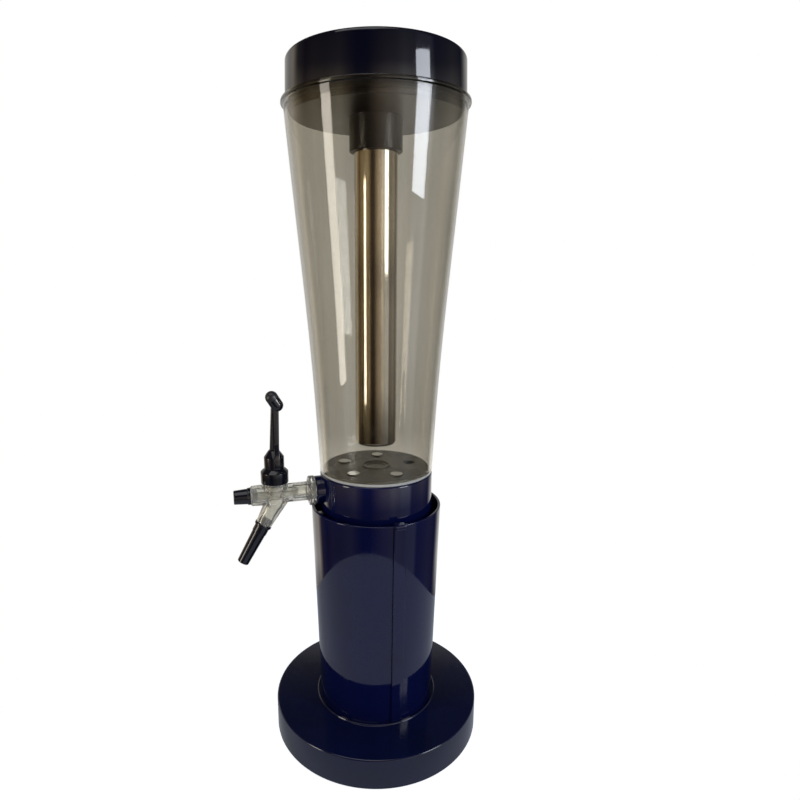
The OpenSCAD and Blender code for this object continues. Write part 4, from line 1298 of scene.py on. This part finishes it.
@dataclass
class Studio:
    """The camera, the pale round table and the soft light."""

    distance: float = 546.6
    height: float = 443.7
    bearing: float = -16.0
    pitch: float = -11.87
    lens: float = 27.11
    shift: float = 0.03
    table_radius: float = 384.0
    table_centre: Point = (126.0, -62.0)

    def build(self) -> None:
        """Sets up the camera, the table, the lamps and the world."""
        self.build_camera()
        self.build_table()
        self.build_lamps()
        self.build_world()
        bpy.context.scene.view_settings.view_transform = "Standard"

    def build_camera(self) -> None:
        """Places the camera where the photograph was taken from."""
        data = bpy.data.cameras.new("camera")
        camera = bpy.data.objects.new("camera", data)
        bpy.context.scene.collection.objects.link(camera)
        data.sensor_width = 36
        data.lens = self.lens
        data.shift_x = self.shift
        data.clip_start = 0.01
        a = math.radians(self.bearing)
        camera.location = (self.distance * MM * math.cos(a), self.distance * MM * math.sin(a), self.height * MM)
        camera.rotation_euler = (math.radians(90 + self.pitch), 0, a + math.pi / 2)
        bpy.context.scene.camera = camera

    def build_table(self) -> None:
        """Makes the pale round table top, which shows as white and keeps the tower's shadow."""
        deselect()
        bpy.ops.mesh.primitive_circle_add(vertices=192, radius=self.table_radius * MM, fill_type="NGON",
                                          location=(*[c * MM for c in self.table_centre], 0))
        table = settle(bpy.context.object)
        table.name = "table"
        made = bpy.data.materials.new("painted_table_top_pale")
        made.use_nodes = True
        tree = made.node_tree
        tree.nodes.clear()
        paint = add(tree, "ShaderNodeBsdfDiffuse", {"Color": srgb("c6ccd8")})
        path = add(tree, "ShaderNodeLightPath")
        seen = maths(tree, "MULTIPLY", path.outputs["Is Camera Ray"], 0.82)
        mirrored = maths(tree, "MULTIPLY", path.outputs["Is Glossy Ray"], 0.08)
        through = maths(tree, "MULTIPLY", path.outputs["Is Transmission Ray"], 0.55)
        shown = maths(tree, "ADD", maths(tree, "ADD", seen, mirrored), through)
        glow = add(tree, "ShaderNodeEmission", {"Color": (1, 1, 1, 1), "Strength": shown})
        both = add(tree, "ShaderNodeAddShader", {0: paint.outputs[0], 1: glow.outputs[0]})
        add(tree, "ShaderNodeOutputMaterial", {"Surface": both.outputs[0]})
        table.data.materials.append(made)

    def lamp(self, name: str, bearing: float, reach: float, heights: Point, width: float, power: float,
             colour: str = "ffffff") -> None:
        """Adds an upright soft box that faces the tower.

        Args:
            name: the lamp's name.
            bearing: where it stands, in degrees from +X.
            reach: its distance from the tower, in metres.
            heights: its lower and upper edge, in metres.
            width: its width, in metres.
            power: its power, in watts.
            colour: its colour, as sRGB hex.
        """
        data = bpy.data.lights.new(name, "AREA")
        data.shape = "RECTANGLE"
        data.size, data.size_y = width, heights[1] - heights[0]
        data.energy = power
        data.color = srgb(colour)[:3]
        made = bpy.data.objects.new(name, data)
        bpy.context.scene.collection.objects.link(made)
        a = math.radians(bearing)
        made.location = (reach * math.cos(a), reach * math.sin(a), sum(heights) / 2)
        made.rotation_euler = Vector((-math.cos(a), -math.sin(a), 0)).to_track_quat("-Z", "Y").to_euler()
        made.visible_camera = False

    def build_lamps(self) -> None:
        """Adds a window-like box at the right, a tall warm one at the left and a soft box overhead."""
        self.lamp("window", 41, 1.5, (0.45, 1.19), 0.49, 11.0, "eef4ff")
        self.lamp("tall_doorway", -76, 1.36, (-0.05, 0.78), 0.3, 5.0, "fff6ea")
        overhead = bpy.data.lights.new("overhead", "AREA")
        overhead.size = 1.4
        overhead.energy = 8.0
        made = bpy.data.objects.new("overhead", overhead)
        bpy.context.scene.collection.objects.link(made)
        made.location = (0.5, -0.5, 2.2)
        made.rotation_euler = Vector((-0.5, 0.5, -2.0)).to_track_quat("-Z", "Y").to_euler()
        made.visible_camera = False

    def ramp(self, tree: bpy.types.NodeTree, source: bpy.types.NodeSocket,
             stops: list[tuple[float, tuple[float, ...]]]) -> bpy.types.NodeSocket:
        """Adds a colour ramp.

        Args:
            tree: the node tree.
            source: the socket from 0 to 1 that runs along the ramp.
            stops: the place and linear colour of each stop.

        Returns:
            The socket with the colour.
        """
        made = add(tree, "ShaderNodeValToRGB", {"Fac": source})
        elements = made.color_ramp.elements
        for place, colour in stops[1:-1]:
            elements.new(place).color = colour
        elements[0].position, elements[0].color = stops[0]
        elements[-1].position, elements[-1].color = stops[-1]
        return made.outputs["Color"]

    def build_world(self) -> None:
        """Makes the world white to the eye, and a soft room with a pale backdrop to gloss, metal and glass."""
        world = bpy.data.worlds.new("studio")
        bpy.context.scene.world = world
        world.use_nodes = True
        tree = world.node_tree
        tree.nodes.clear()
        way = add(tree, "ShaderNodeSeparateXYZ", {0: add(tree, "ShaderNodeTexCoord").outputs["Generated"]}).outputs
        rise = spread(tree, way["Z"], 0, 1, (-1, 1))
        turn = spread(tree, maths(tree, "ARCTAN2", way["Y"], way["X"]), 0, 1, (-math.pi, math.pi))
        room = self.ramp(tree, turn, [
            (b.bearing / 360 + 0.5, (*[c * b.strength for c in srgb(b.colour)[:3]], 1.0)) for b in ROOM
        ])
        # the room fades above and below eye level, the backdrop only well above it
        near = self.fade(tree, rise, [(-60, 0.1), (-30, 0.16), (-20, 0.16), (-14, 0.6), (-4, 0.6), (0, 0.45), (5, 0.9), (13, 0.9), (19, 0.2),
                                      (28, 0.1)])
        far = self.fade(tree, rise, [(-60, 0.1), (-30, 0.4), (-26, 1.5), (-19, 1.5), (-15, 0.95), (24, 0.95), (32, 0.16), (40, 0.05),
                                     (60, 0.05)])
        behind = self.ramp(tree, turn, [
            (bearing / 360 + 0.5, (share, share, share, 1.0))
            for bearing, share in ((-180, 1), (-140, 1), (-128, 0), (112, 0), (126, 1), (180, 1))
        ])
        level = add(tree, "ShaderNodeMix", {0: behind, 2: near, 3: far}).outputs[0]
        mirrored = add(tree, "ShaderNodeBackground", {"Color": room, "Strength": level})
        soft = add(tree, "ShaderNodeBackground", {
            "Color": srgb("f2f4f8"),
            "Strength": self.fade(tree, rise, [(-20, 0.2), (0, 0.34), (20, 0.36), (45, 0.26), (80, 0.22)]),
        })
        white = add(tree, "ShaderNodeBackground", {"Color": (1, 1, 1, 1), "Strength": 1.0})
        path = add(tree, "ShaderNodeLightPath").outputs
        polished = maths(tree, "MAXIMUM", path["Is Glossy Ray"], path["Is Transmission Ray"])
        lit = add(tree, "ShaderNodeMixShader", {0: polished, 1: soft.outputs[0], 2: mirrored.outputs[0]})
        seen = add(tree, "ShaderNodeMixShader", {0: path["Is Camera Ray"], 1: lit.outputs[0], 2: white.outputs[0]})
        add(tree, "ShaderNodeOutputWorld", {"Surface": seen.outputs[0]})

    def fade(self, tree: bpy.types.NodeTree, rise: bpy.types.NodeSocket,
             levels: list[tuple[float, float]]) -> bpy.types.NodeSocket:
        """A strength that changes with the elevation.

        Args:
            tree: the node tree.
            rise: the sine of the elevation, mapped onto 0 to 1.
            levels: degrees of elevation and the strength there.

        Returns:
            The socket with the strength.
        """
        return self.ramp(tree, rise, [
            (math.sin(math.radians(angle)) / 2 + 0.5, (level, level, level, 1.0)) for angle, level in levels
        ])


def main() -> None:
    """Builds the tower and the studio."""
    logging.basicConfig(level=logging.INFO, format="%(name)s: %(message)s")
    for part in (Foot(), Column(), Tank(), Tap(), Lever(), Lid(), Studio()):
        part.build()


if __name__ == "__main__":
    main()
